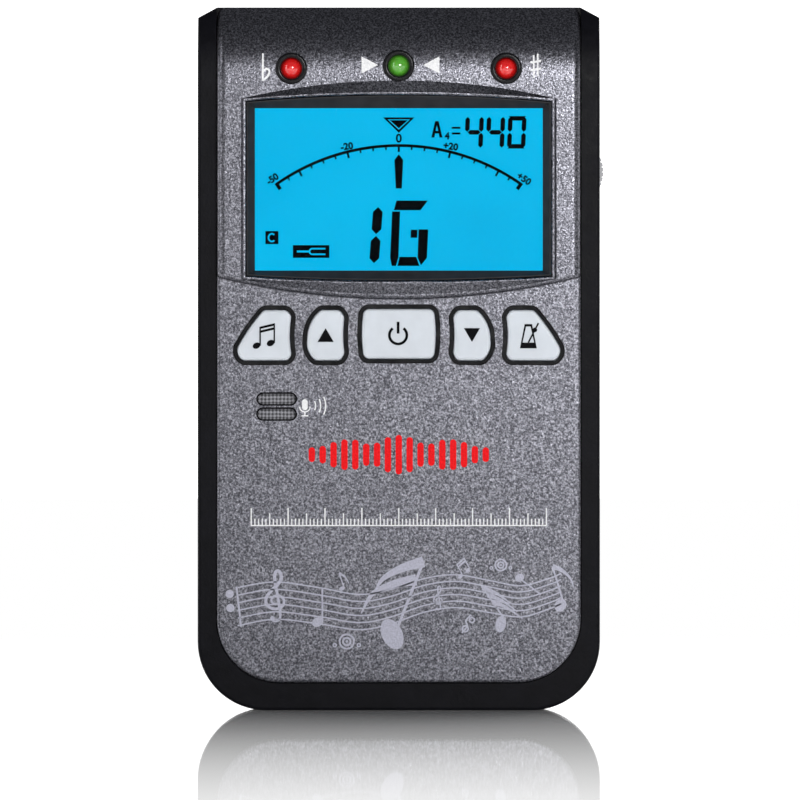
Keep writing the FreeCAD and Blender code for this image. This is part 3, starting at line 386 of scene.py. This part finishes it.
def circuit_board():
    shader = Shader("circuit_board", (0.01, 0.12, 0.05), 0.3)
    brick = shader.tree.nodes.new("ShaderNodeTexBrick")
    brick.inputs["Scale"].default_value = 1 / (2.4 * MM)
    brick.inputs["Color1"].default_value = (0.008, 0.11, 0.045, 1)
    brick.inputs["Color2"].default_value = (0.012, 0.15, 0.06, 1)
    brick.inputs["Mortar"].default_value = (0.02, 0.22, 0.09, 1)
    brick.inputs["Mortar Size"].default_value = 0.06
    turn = shader.tree.nodes.new("ShaderNodeMapping")
    turn.inputs["Rotation"].default_value = (math.radians(90), 0, 0)
    shader.tree.links.new(shader.coordinates.outputs["Object"], turn.inputs["Vector"])
    shader.tree.links.new(turn.outputs["Vector"], brick.inputs["Vector"])
    shader.feed("Base Color", brick.outputs["Color"])
    shader.bump(shader.noise(0.8), 0.02, 0.4)
    return shader.material


def printed_sleeve():
    """A cell's plain blue sleeve under a clear coat."""
    shader = Shader("printed_sleeve", (0.03, 0.1, 0.25), 0.3, 0.6)
    shader.feed("Base Color", shader.ramp(shader.noise(3.0, 1.0), shades((0.03, 0.1, 0.25), 0.2)))
    shader.set("Coat Weight", 0.6)
    return shader.material


def finish_nodes():
    black = (0.004, 0.004, 0.006)
    shell = moulded("shell_plastic", black, 0.42, 0.45, 0.05, 0.25)
    shell.set("Specular IOR Level", 0.11)
    satin = moulded("bezel_plastic", (0.026, 0.026, 0.029), 0.6, 0.3, 0.012, 0.2)
    satin.set("Specular IOR Level", 0.2)
    gloss = moulded("gloss_plastic", (0.006, 0.006, 0.007), 0.2, 0.6, 0.006, 0.2)
    gloss.set("Specular IOR Level", 0.25)
    dark = moulded("socket_plastic", (0.012, 0.012, 0.013), 0.5, 0.5, 0.02).material
    soft = moulded("soft_rubber", (0.02, 0.02, 0.021), 0.75, 0.4, 0.03).material
    steel = metal("nickel", (0.62, 0.62, 0.64), 0.3)
    finishes = {
        grained_paint(): ["front_cover"],
        shell.material: ["rear_cover", "battery_door", "stand_leg"],
        satin.material: ["display_bezel"],
        gloss.material: ["key_bezel", "led_collars"],
        clear_plastic(): ["display_lens"],
        lit_display(): ["lcd_glass"],
        silicone(): ["key_tone", "key_up", "key_power", "key_down", "key_mode", "keypad_web"],
        moulded("light_guide", (0.7, 0.78, 0.85), 0.3, 0.6, 0.02, 0.05).material: ["lcd_backlight"],
        striped_elastomer(): ["lcd_connector"],
        moulded("carbon", (0.03, 0.03, 0.03), 0.6, 0.2, 0.01).material: ["contact_pads"],
        circuit_board(): ["main_board"],
        dark: ["tuner_chip", "volume_pot", "phones_jack", "pickup_jack"],
        steel: ["crystal", "mic_capsule", "wheel_screw", "battery_springs", "battery_plates",
                "board_screws"],
        metal("black_zinc", (0.1, 0.1, 0.105), 0.38): ["case_screws"],
        woven("acoustic_cloth", (0.17, 0.17, 0.185), 0.28): ["mic_cloth"],
        woven("cone_cloth", (0.03, 0.03, 0.032), 0.4): ["speaker"],
        soft: ["mic_boot", "speaker_gasket"],
        moulded("wheel_plastic", (0.5, 0.5, 0.52), 0.35, 0.3, 0.02, 0.1).material: ["volume_wheel"],
        printed_sleeve(): ["battery_1", "battery_2"],
    }
    for material, names in finishes.items():
        for name in names:
            slots = nodes[name].material_slots
            if not slots:
                nodes[name].data.materials.append(material)
            for slot in slots:
                slot.material = material


# ---------------------------------------------------------------- flat printed shapes

def plate_surface(x, z):
    return PLATE_Y


def block_surface(x, z):
    """Front of the display block, which rolls back above its start."""
    rise = max(0.0, z - ROLL_START)
    return BLOCK_Y + ROLL_RADIUS - math.sqrt(ROLL_RADIUS ** 2 - rise ** 2)


def glass_surface(x, z):
    return GLASS_Y


def key_surface(name):
    front = corner(name)[0].y
    return lambda x, z: front


def film(name, shapes, surface, material, body="housing", thick=INK, cuts=0):
    """Thin flat shapes on a surface that faces the front. A shape is its points (x, z), in
    millimetres, and its faces. Shapes that cross differ a little in height. A surface that
    curves needs cuts."""
    crossing, root = 0.003, 0.01
    whole = bmesh.new()
    for index, (points, faces) in enumerate(shapes):
        part = bmesh.new()
        dots = [part.verts.new((x, 0, z)) for x, z in points]
        for face in faces:
            part.faces.new([dots[i] for i in face])
        if cuts:
            bmesh.ops.subdivide_edges(part, edges=part.edges[:], cuts=cuts, use_grid_fill=True)
        grown = bmesh.ops.extrude_face_region(part, geom=part.faces[:])
        raised = {v for v in grown["geom"] if isinstance(v, bmesh.types.BMVert)}
        top = -thick - crossing * (index % 5)
        for vertex in part.verts:
            x, z = vertex.co.x, vertex.co.z
            lift = top if vertex in raised else root
            vertex.co = (x * MM, (surface(x, z) + lift) * MM, z * MM)
        bmesh.ops.recalc_face_normals(part, faces=part.faces[:])
        mesh = bpy.data.meshes.new("part")
        part.to_mesh(mesh)
        part.free()
        whole.from_mesh(mesh)
        bpy.data.meshes.remove(mesh)
    mesh = bpy.data.meshes.new(name)
    whole.to_mesh(mesh)
    whole.free()
    mesh.materials.append(material)
    piece = bpy.data.objects.new(name, mesh)
    scene.collection.objects.link(piece)
    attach(piece, body)
    return piece


def outline(*loops):
    """A shape from its outer loop and its holes."""
    points = [point for loop in loops for point in loop]
    faces = tessellate_polygon([[Vector((x, z, 0)) for x, z in loop] for loop in loops])
    return points, [face for face in faces if len(set(face)) == 3]


def disc(x, z, radius, squash=1.0, tilt=0.0, steps=32):
    turn = math.radians(tilt)
    loop = []
    for i in range(steps):
        angle = 2 * math.pi * i / steps
        u, v = radius * math.cos(angle), radius * squash * math.sin(angle)
        loop.append((x + u * math.cos(turn) - v * math.sin(turn),
                     z + u * math.sin(turn) + v * math.cos(turn)))
    return loop


def ring(x, z, outer, inner):
    return outline(disc(x, z, outer), disc(x, z, inner)[::-1])


def dot(x, z, radius):
    return outline(disc(x, z, radius, steps=16))


def block(x0, x1, z0, z1):
    return outline([(x0, z0), (x1, z0), (x1, z1), (x0, z1)])


def smooth(points, steps=8):
    """Points along a Catmull-Rom curve through the given ones."""
    padded = [points[0]] + list(points) + [points[-1]]
    path = []
    for i in range(1, len(padded) - 2):
        p0, p1, p2, p3 = (Vector(p) for p in padded[i - 1:i + 3])
        for k in range(steps):
            s = k / steps
            path.append(0.5 * (2 * p1 + (p2 - p0) * s + (2 * p0 - 5 * p1 + 4 * p2 - p3) * s ** 2
                               + (3 * p1 - p0 - 3 * p2 + p3) * s ** 3))
    path.append(Vector(padded[-2]))
    return [tuple(point) for point in path]


def ribbon(path, width, taper=None):
    """A stroke along a path. taper(0..1) scales its width."""
    line = [Vector(p) for p in path]
    points = []
    for i, point in enumerate(line):
        way = (line[min(i + 1, len(line) - 1)] - line[max(i - 1, 0)]).normalized()
        share = taper(i / (len(line) - 1)) if taper else 1.0
        side = Vector((-way.y, way.x)) * width / 2 * share
        points += [tuple(point - side), tuple(point + side)]
    return points, [(2 * i, 2 * i + 1, 2 * i + 3, 2 * i + 2) for i in range(len(line) - 1)]


def arc(x, z, radius, start, end, steps=24):
    """Points from the start angle to the end angle, in degrees from +X towards +Z."""
    angles = (math.radians(start + (end - start) * i / steps) for i in range(steps + 1))
    return [(x + radius * math.cos(a), z + radius * math.sin(a)) for a in angles]


def moved(shapes, x, z, scale=1.0, tilt=0.0):
    turn = math.radians(tilt)
    cosine, sine = math.cos(turn) * scale, math.sin(turn) * scale
    return [([(x + u * cosine - v * sine, z + u * sine + v * cosine) for u, v in points], faces)
            for points, faces in shapes]


def numerals(text, x, z, height, tilt=0.0, bold=0.0):
    """Plain numerals, centred on (x, z)."""
    curve = bpy.data.curves.new("numerals", "FONT")
    curve.body = text
    curve.size = 1.0
    curve.offset = bold
    curve.resolution_u = 4
    maker = bpy.data.objects.new("numerals", curve)
    scene.collection.objects.link(maker)
    bpy.context.view_layer.update()
    mesh = bpy.data.meshes.new_from_object(maker.evaluated_get(
        bpy.context.evaluated_depsgraph_get()))
    points = [(vertex.co.x, vertex.co.y) for vertex in mesh.vertices]
    faces = [tuple(polygon.vertices) for polygon in mesh.polygons]
    bpy.data.objects.remove(maker)
    bpy.data.curves.remove(curve)
    bpy.data.meshes.remove(mesh)
    middle_x = (min(p[0] for p in points) + max(p[0] for p in points)) / 2
    middle_z = (min(p[1] for p in points) + max(p[1] for p in points)) / 2
    centred = [(px - middle_x, pz - middle_z) for px, pz in points]
    return moved([(centred, faces)], x, z, height / 0.7, tilt)


# ---------------------------------------------------------------- lamps

def clear_lamp(node, x, z, material):
    """A lamp's bulb, turned about its own axis with a smooth dome, and its two leads."""
    radius, brim, lead_radius, lead_reach, rings = 1.5, 1.85, 0.25, 1.27, 16
    tip, flange, base, end = PAD_Y + 0.05, -3.0, -2.1, 0.3
    dome = [(radius * math.sin(a), tip + radius - radius * math.cos(a))
            for a in (math.radians(90 * i / rings) for i in range(rings + 1))]
    profile = dome + [(radius, flange), (brim, flange), (brim, base), (0.0, base)]
    shape = bmesh.new()
    line = [shape.verts.new((r * MM, y * MM, 0)) for r, y in profile]
    edges = [shape.edges.new(pair) for pair in zip(line, line[1:])]
    bmesh.ops.spin(shape, geom=line + edges, cent=(0, 0, 0), axis=(0, 1, 0), steps=64,
                   angle=2 * math.pi, use_duplicate=False)
    bmesh.ops.remove_doubles(shape, verts=shape.verts[:], dist=1e-7)
    for side in (-lead_reach, lead_reach):
        lead = bmesh.ops.create_cone(shape, cap_ends=True, segments=16, radius1=lead_radius * MM,
                                     radius2=lead_radius * MM, depth=(end - base) * MM)
        for vertex in lead["verts"]:
            u, v, w = vertex.co
            vertex.co = (u + side * MM, w + (base + end) / 2 * MM, v)
    bmesh.ops.recalc_face_normals(shape, faces=shape.faces[:])
    mesh = bpy.data.meshes.new(node + "_clear")
    shape.to_mesh(mesh)
    shape.free()
    mesh.transform(Matrix.Translation((x * MM, 0, z * MM)))
    mesh.polygons.foreach_set("use_smooth", [True] * len(mesh.polygons))
    mesh.set_sharp_from_angle(angle=math.radians(35))
    mesh.materials.append(material)
    lamp = bpy.data.objects.new(node + "_clear", mesh)
    scene.collection.objects.link(lamp)
    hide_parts(node)
    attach(lamp, "housing")


# ---------------------------------------------------------------- display picture

def segment_digit(bars, x, z, width, height, thick, lean):
    """A seven-bar digit from its bars: a top, b and c right, d bottom, e and f left, g middle."""
    half, gap = thick / 2, thick * 0.09
    mid = height / 2

    def upright(place, low, high):
        return [(place, low + gap), (place + half, low + half + gap),
                (place + half, high - half - gap), (place, high - gap),
                (place - half, high - half - gap), (place - half, low + half + gap)]

    loops = {
        "a": [(gap, height), (width - gap, height), (width - thick - gap, height - thick),
              (thick + gap, height - thick)],
        "d": [(thick + gap, thick), (width - thick - gap, thick), (width - gap, 0), (gap, 0)],
        "g": [(half + gap, mid), (thick + gap, mid + half), (width - thick - gap, mid + half),
              (width - half - gap, mid), (width - thick - gap, mid - half),
              (thick + gap, mid - half)],
        "b": upright(width - half, mid, height - gap),
        "c": upright(width - half, gap, mid),
        "f": upright(half, mid, height - gap),
        "e": upright(half, gap, mid),
    }
    return [outline([(x + u + v * lean, z + v) for u, v in loops[bar]]) for bar in bars]


def display_scale(black):
    """The arched scale in hundredths of a semitone, with its numerals."""
    middle, reach, stroke, degrees = 52.5, 31.75, 0.44, 0.7

    def spoke(cents, outer, inner, width):
        turn = math.radians(cents * degrees)
        return ribbon([(r * math.sin(turn), middle + r * math.cos(turn)) for r in (outer, inner)],
                      width)

    end = 50 * degrees
    shapes = [ribbon(arc(0, middle, reach, 90 + end, 90 - end, 96), stroke)]
    for cents in range(-50, 51, 5):
        if abs(cents) == 50:
            shapes.append(spoke(cents, reach + 0.2, reach - 0.95, 0.55))
        else:
            long_tick = cents % 20 == 0
            shapes.append(spoke(cents, reach, reach - (0.95 if long_tick else 0.6),
                                0.32 if long_tick else 0.26))
    film("lcd_scale", shapes, glass_surface, black)

    marks = numerals("0", 0.0, 85.35, 1.25, bold=0.03)
    for text, x, z, tilt in (("-50", -18.85, 79.3, 34), ("-20", -7.75, 84.15, 8),
                             ("+20", 7.75, 84.15, -8), ("+50", 18.7, 79.3, -34)):
        marks += numerals(text, x, z, 0.98, tilt, 0.045)
    film("lcd_numerals", marks, glass_surface, black)


def display_readings(black):
    """The pointer, the needle, the calibration pitch and the string's number and note."""
    top, tip, half = 88.45, 86.15, 2.35
    frame = outline([(-half, top), (half, top), (0, tip)],
                    [(-half + 0.68, top - 0.3), (0, tip + 0.46), (half - 0.68, top - 0.3)])
    fill = outline([(-half + 1.0, top - 0.42), (half - 1.0, top - 0.42), (0, tip + 0.66)])
    film("lcd_pointer", [frame, fill], glass_surface, black)
    needle = outline([(-0.45, 77.85), (0.45, 77.85), (0.66, 82.1), (0, 82.95), (-0.66, 82.1)])
    film("lcd_needle", [needle], glass_surface, black)

    pitch = [outline([(4.85, 85.45), (5.3, 85.45), (5.42, 86.05), (5.95, 86.05), (6.07, 85.45),
                      (6.52, 85.45), (5.95, 87.9), (5.42, 87.9)],
                     [(5.5, 86.45), (5.87, 86.45), (5.68, 87.25)])]
    pitch += numerals("4", 7.2, 85.7, 0.95, 0.0, 0.05)
    pitch += [block(7.9, 9.2, level, level + 0.3) for level in (85.9, 86.75)]
    for index, bars in enumerate(("fgbc", "fgbc", "abcdef")):
        pitch += segment_digit(bars, 9.75 + index * 3.18, 83.8, 2.75, 4.85, 0.68, 0.045)
    film("lcd_pitch", pitch, glass_surface, black)

    low = 66.3
    note = segment_digit("bc", -5.9, low + 0.15, 2.9, 8.9, 1.45, 0.075)
    letter = [
        [(-0.35, 9.75), (4.35, 9.75), (3.25, 8.3), (-0.75, 8.3)],
        [(-1.0, 8.12), (0.2, 8.12), (-0.05, 1.25), (-0.42, 0.0), (-1.05, 0.0), (-1.3, 1.2)],
        [(0.1, 1.35), (2.6, 1.35), (3.1, 0.0), (-0.2, 0.0)],
        [(2.8, 1.25), (2.95, 5.45), (4.4, 5.45), (4.2, 1.2), (3.3, 0.1)],
        [(1.75, 4.2), (1.8, 5.4), (2.8, 5.4), (2.75, 4.2)],
    ]
    note += [outline([(x, low + z) for x, z in loop]) for loop in letter]
    film("lcd_note", note, glass_surface, black)


def display_modes(black, blue):
    """Two filled boxes: the note C, and a tuning fork."""
    film("lcd_boxes", [block(-19.9, -17.95, 69.55, 71.5), block(-15.8, -10.35, 67.5, 69.4)],
         glass_surface, black)
    middle, tine, bend = 68.45, 0.42, -12.9
    fork = [ribbon([(-10.95, middle + side * tine), (bend, middle + side * tine)], 0.24)
            for side in (-1, 1)]
    fork += [ribbon(arc(bend, middle, tine, 90, 270, 12), 0.24),
             ribbon([(bend - tine, middle), (-15.2, middle)], 0.3)]
    letter = ribbon([(x, 70.52 + (z - 70.52) * 1.15) for x, z in
                     arc(-18.93, 70.52, 0.5, 45, 315, 18)], 0.24)
    film("lcd_box_marks", fork + [letter], lambda x, z: GLASS_Y - INK, blue, thick=0.02)


# ---------------------------------------------------------------- prints on the case, and painted shade round the microphone's slots

def beamed_pair(x, z, size):
    """Two joined quavers, size high, centred on (x, z)."""
    head = size * 0.15
    left, right = x - size * 0.26, x + size * 0.28
    low, lift, bar = z - size * 0.36, size * 0.1, size * 0.055
    shapes = [outline(disc(left - head * 0.75, low, head, 0.76, 25)),
              outline(disc(right - head * 0.75, low + lift, head, 0.76, 25)),
              block(left, left + bar, low, z + size * 0.34),
              block(right, right + bar, low + lift, z + size * 0.46)]
    for drop in (0.0, size * 0.15):
        shapes.append(outline([(left, z + size * 0.27 - drop), (right + bar, z + size * 0.41 - drop),
                               (right + bar, z + size * 0.5 - drop),
                               (left, z + size * 0.36 - drop)]))
    return shapes


def key_icons(black):
    film("icon_tone", beamed_pair(-19.75, 55.8, 3.9), key_surface("key_tone"), black,
         "key_tone")
    film("icon_up", [outline([(-12.1, 54.95), (-9.7, 54.95), (-10.9, 57.0)])],
         key_surface("key_up"), black, "key_up")
    film("icon_down", [outline([(9.7, 57.0), (10.9, 54.95), (12.1, 57.0)])],
         key_surface("key_down"), black, "key_down")
    x, z = -0.1, 55.95
    film("icon_power", [ribbon(arc(x, z, 1.3, 52, -232, 40), 0.4),
                        block(x - 0.2, x + 0.2, z + 0.25, z + 2.0)],
         key_surface("key_power"), black, "key_power")
    x, z = 19.3, 55.8
    case = outline([(x - 1.25, z - 1.8), (x + 1.25, z - 1.8), (x + 0.55, z + 1.8),
                    (x - 0.55, z + 1.8)],
                   [(x - 0.87, z - 0.95), (x + 0.87, z - 0.95), (x + 0.34, z + 1.45),
                    (x - 0.34, z + 1.45)])
    arm = [ribbon([(x, z - 0.95), (x + 1.5, z + 1.95)], 0.24), dot(x + 0.98, z + 0.95, 0.34)]
    film("icon_mode", [case] + arm, key_surface("key_mode"), black, "key_mode")


def lamp_signs(white):
    """Flat, in tune and sharp signs beside the lamps."""
    x, z = -20.25, 93.85
    bowl = smooth([(x, z + 1.35), (x + 0.55, z + 1.8), (x + 0.98, z + 1.4), (x + 0.7, z + 0.65),
                   (x, z + 0.08)])
    film("print_flat", [block(x - 0.14, x + 0.14, z, z + 4.1), ribbon(bowl, 0.3)], block_surface,
         white, cuts=4)
    arrows = [outline([(-5.55, 94.95), (-3.1, 96.2), (-5.55, 97.5)]),
              outline([(6.05, 94.95), (6.05, 97.5), (3.65, 96.2)])]
    film("print_in_tune", arrows, block_surface, white, cuts=7)
    x, z = 20.4, 96.1
    sharp = [block(x - 0.42, x - 0.18, z - 1.8, z + 1.6), block(x + 0.18, x + 0.42, z - 1.6, z + 1.8)]
    for level in (-0.6, 0.55):
        sharp.append(outline([(x - 0.78, z + level - 0.24), (x + 0.78, z + level + 0.02),
                              (x + 0.78, z + level + 0.34), (x - 0.78, z + level + 0.08)]))
    film("print_sharp", sharp, block_surface, white, cuts=4)


def slot_loop(x, z, long, high):
    radius = high / 2
    reach = long / 2 - radius
    return arc(x + reach, z, radius, -90, 90, 12) + arc(x - reach, z, radius, 90, 270, 12)


def microphone_signs(white, black):
    """Painted shade round the microphone's slots: dark bands that stand in for the shade at the slots'
    edges. Also a small microphone beside them.
    """
    long, high, shade_width, pitch = 5.65, 1.55, 0.46, 2.25
    middle_x, middle_z = -18.2, 45.33
    # the dark bands round the slots are painted shade, not a real rim
    slot_shade_rings = [outline(slot_loop(middle_x, middle_z + side * pitch / 2, long + shade_width, high + shade_width),
                    slot_loop(middle_x, middle_z + side * pitch / 2, long - 0.02,
                              high - 0.02)[::-1])
            for side in (-1, 1)]
    film("painted_slot_shade", slot_shade_rings, plate_surface, black, thick=0.06)
    x, z = -14.0, 45.25
    head = arc(x, z + 0.75, 0.42, 0, 180, 12) + arc(x, z - 0.05, 0.42, 180, 360, 12)
    shapes = [outline(head), ribbon(arc(x, z + 0.05, 0.78, 180, 360, 16), 0.17),
              block(x - 0.09, x + 0.09, z - 1.3, z - 0.7), block(x - 0.5, x + 0.5, z - 1.4, z - 1.22)]
    for radius in (1.5, 2.25, 3.0):
        shapes.append(ribbon(arc(x + 0.1, z + 0.2, radius, -26, 26, 10), 0.19))
    film("print_microphone", shapes, plate_surface, white)


def emblem(red):
    """A plain sound wave in upright bars."""
    count, pitch, middle, wide = 17, 1.62, 38.15, 0.95
    shapes = []
    for i in range(count):
        place = i - (count - 1) / 2
        swell = (0.3 + 0.7 * abs(math.cos(place * 0.62))) * math.exp(-(place / 8.5) ** 2)
        tall = 1.3 + 4.6 * swell
        shapes.append(outline(arc(place * pitch, middle + tall / 2 - wide / 2, wide / 2, 0, 180, 10)
                              + arc(place * pitch, middle - tall / 2 + wide / 2, wide / 2, 180,
                                    360, 10)))
    film("emblem_wave", shapes, plate_surface, red)


def tuning_strip(white):
    """A fine centre-zero rule."""
    reach, pitch, low = 40, 0.55, 27.6
    shapes = [block(-reach * pitch, reach * pitch, low - 0.1, low + 0.08)]
    for i in range(-reach, reach + 1):
        rise = 2.6 if i % 10 == 0 else (1.8 if i % 5 == 0 else 1.0)
        shapes.append(block(i * pitch - 0.09, i * pitch + 0.09, low, low + rise))
    film("print_scale", shapes, plate_surface, white)


STAVE = [(-24.0, 15.5), (-18.4, 16.4), (-11.7, 15.6), (-5.9, 14.7), (-1.2, 15.5), (3.9, 17.2),
         (8.6, 17.8), (13.6, 17.0), (18.2, 16.3), (22.3, 17.4), (24.2, 18.2)]
CLEF = [(0.2, -0.35), (-0.3, -0.3), (-0.55, 0.15), (-0.25, 0.7), (0.4, 0.75), (0.9, 0.2),
        (0.8, -0.6), (0.15, -1.05), (-0.65, -0.9), (-1.15, -0.2), (-1.05, 0.7), (-0.45, 1.6),
        (0.25, 2.4), (0.6, 3.2), (0.5, 3.95), (0.15, 4.25), (-0.15, 3.7), (-0.1, 2.6),
        (0.15, 1.0), (0.4, -0.8), (0.5, -2.0), (0.25, -2.7), (-0.3, -2.75), (-0.5, -2.35)]


def clef(x, z, scale):
    """A treble clef, thick at its curves and fine at its ends."""
    steps = 8
    path = smooth([(x + u * scale * 1.2, z + v * scale) for u, v in CLEF], steps)
    top = max(range(len(CLEF)), key=lambda i: CLEF[i][1]) * steps
    return [ribbon(path[:top + 1], 0.42 * scale, lambda s: 0.6 + 0.5 * math.sin(math.pi * s / 2)),
            ribbon(path[top:], 0.42 * scale, lambda s: 1.1 - 0.5 * s),
            dot(x - 0.5 * scale, z - 2.4 * scale, 0.32 * scale)]


def swoop(points, width):
    """A flag: broad where it leaves the stem, and pointed at its tip."""
    return ribbon(smooth(points), width, lambda s: 1.0 - 0.9 * s)


def stave_lines():
    """Six lines that follow one wave and close up to the right."""
    middle = smooth(STAVE, 10)
    left, right = 1.14, 0.9
    lines = []
    for line in range(6):
        path = []
        for x, z in middle:
            gap = left + (right - left) * (x - STAVE[0][0]) / (STAVE[-1][0] - STAVE[0][0])
            path.append((x, z + (line - 2.5) * gap))
        lines.append(ribbon(path, 0.2))
    return lines


def large_note():
    """A tall semiquaver that stands across the stave."""
    stem = [(-0.1, 12.6), (3.7, 22.3)]
    return [outline(disc(-1.0, 11.4, 2.4, 0.64, 116)), ribbon(stem, 0.42),
            swoop([(3.7, 22.2), (0.4, 21.2), (-2.3, 19.7), (-3.5, 17.9)], 1.7),
            swoop([(2.6, 19.5), (-0.6, 18.9), (-3.9, 17.4), (-5.6, 14.5)], 1.7)]


def target(x, z, size):
    """Two rings and a dot, with a small ring to each side."""
    shapes = [ring(x, z, size, size * 0.78), ring(x, z, size * 0.58, size * 0.34),
              dot(x, z, size * 0.16)]
    for side in (-1, 1):
        shapes.append(ring(x + side * size * 1.5, z - size * 0.45, size * 0.28, size * 0.12))
    return shapes


def stave(lavender):
    shapes = stave_lines()
    shapes += [ribbon([(-24.2, 18.5), (-23.5, 12.5)], 0.28), dot(-25.2, 17.4, 0.62),
               dot(-25.1, 15.3, 0.62)]
    shapes += clef(-18.3, 16.3, 1.07)
    shapes += [outline(disc(-12.1, 13.2, 0.88, 0.76, 25)), ribbon([(-11.4, 13.3), (-11.4, 18.3)], 0.24)]
    shapes += [outline(disc(-8.5, 18.2, 0.42, 0.7, 20)), ribbon([(-8.15, 18.3), (-8.9, 20.5)], 0.16),
               swoop([(-8.9, 20.5), (-8.0, 19.9), (-7.4, 18.9)], 0.4)]
    shapes += target(-7.75, 10.3, 1.2) + large_note()
    shapes += clef(5.9, 16.4, 0.5)
    shapes += moved(beamed_pair(0, 0, 2.6), 9.6, 21.3, 1.0, 28)
    shapes += target(15.2, 21.7, 0.95)
    shapes += [outline(disc(18.0, 19.8, 0.68, 0.86, 20)), ribbon([(18.4, 19.4), (21.2, 17.3)], 0.22)]
    shapes += [ribbon(smooth([(9.4, 11.6), (10.2, 12.6), (10.0, 13.4), (10.8, 14.3)]), 0.24),
               ring(9.9, 12.2, 0.55, 0.32), ring(10.9, 13.5, 0.48, 0.26)]
    shapes += [outline(disc(15.2, 12.9, 1.25, 0.62, 78)), ribbon([(15.8, 13.6), (12.3, 18.6)], 0.24)]
    for index in range(3):
        root_x, root_z = 12.5 + index * 0.75, 18.3 - index * 1.05
        shapes.append(swoop([(root_x, root_z), (root_x + 2.2, root_z - 0.9),
                             (root_x + 4.4, root_z - 2.5)], 0.75))
    shapes += [outline(disc(24.1, 15.7, 1.0, 0.82, 60)), ribbon([(24.6, 15.9), (22.9, 21.5)], 0.26),
               swoop([(22.9, 21.5), (24.3, 20.9), (25.5, 19.8), (26.1, 18.3)], 0.8)]
    film("print_stave", shapes, plate_surface, lavender)


# ---------------------------------------------------------------- the whole scene

make_camera()
make_world()
make_stage()
make_light("key_softbox", (0.158, -0.58, 0.20), (0, 0, 0.06), (0.17, 0.15), 1.32)
make_light("front_softbox", (-0.1, -1.6, 0.45), (0, 0, 0.06), (0.8, 0.4), 0.9)
make_light("left_strip", (-0.8, -0.4, 0.3), (0, 0, 0.05), (0.2, 0.7), 1.0)
make_light("back_softbox", (0.3, 1.2, 0.6), (0, 0, 0.05), (0.9, 0.6), 26)
finish_nodes()

red_lamp = lamp_epoxy("red_lamp", (0.66, 0.012, 0.012), 0.22)
clear_lamp("led_flat", -LAMP_REACH, LAMP_SIDE, red_lamp)
clear_lamp("led_sharp", LAMP_REACH, LAMP_SIDE, red_lamp)
clear_lamp("led_in_tune", 0.0, LAMP_MIDDLE, lamp_epoxy("green_lamp", (0.085, 0.34, 0.03), 0.27))
lcd_black = flat_ink("segment_black", (0.002, 0.003, 0.004))
key_black = flat_ink("key_print", (0.006, 0.006, 0.007))
# painted shade: black ink for the bands round the microphone's slots, standing in for the shade at
# their edges
slot_shade_black = flat_ink("painted_slot_shade_ink", (0.005, 0.005, 0.006))
white_ink = ink("white_ink", (0.88, 0.88, 0.90))

display_scale(lcd_black)
display_readings(lcd_black)
display_modes(lcd_black, lit_display())
key_icons(key_black)
lamp_signs(white_ink)
microphone_signs(white_ink, slot_shade_black)
emblem(ink("red_ink", (0.86, 0.004, 0.008)))
tuning_strip(white_ink)
stave(ink("lavender_ink", (0.47, 0.47, 0.56)))

scene.view_settings.view_transform = "Standard"
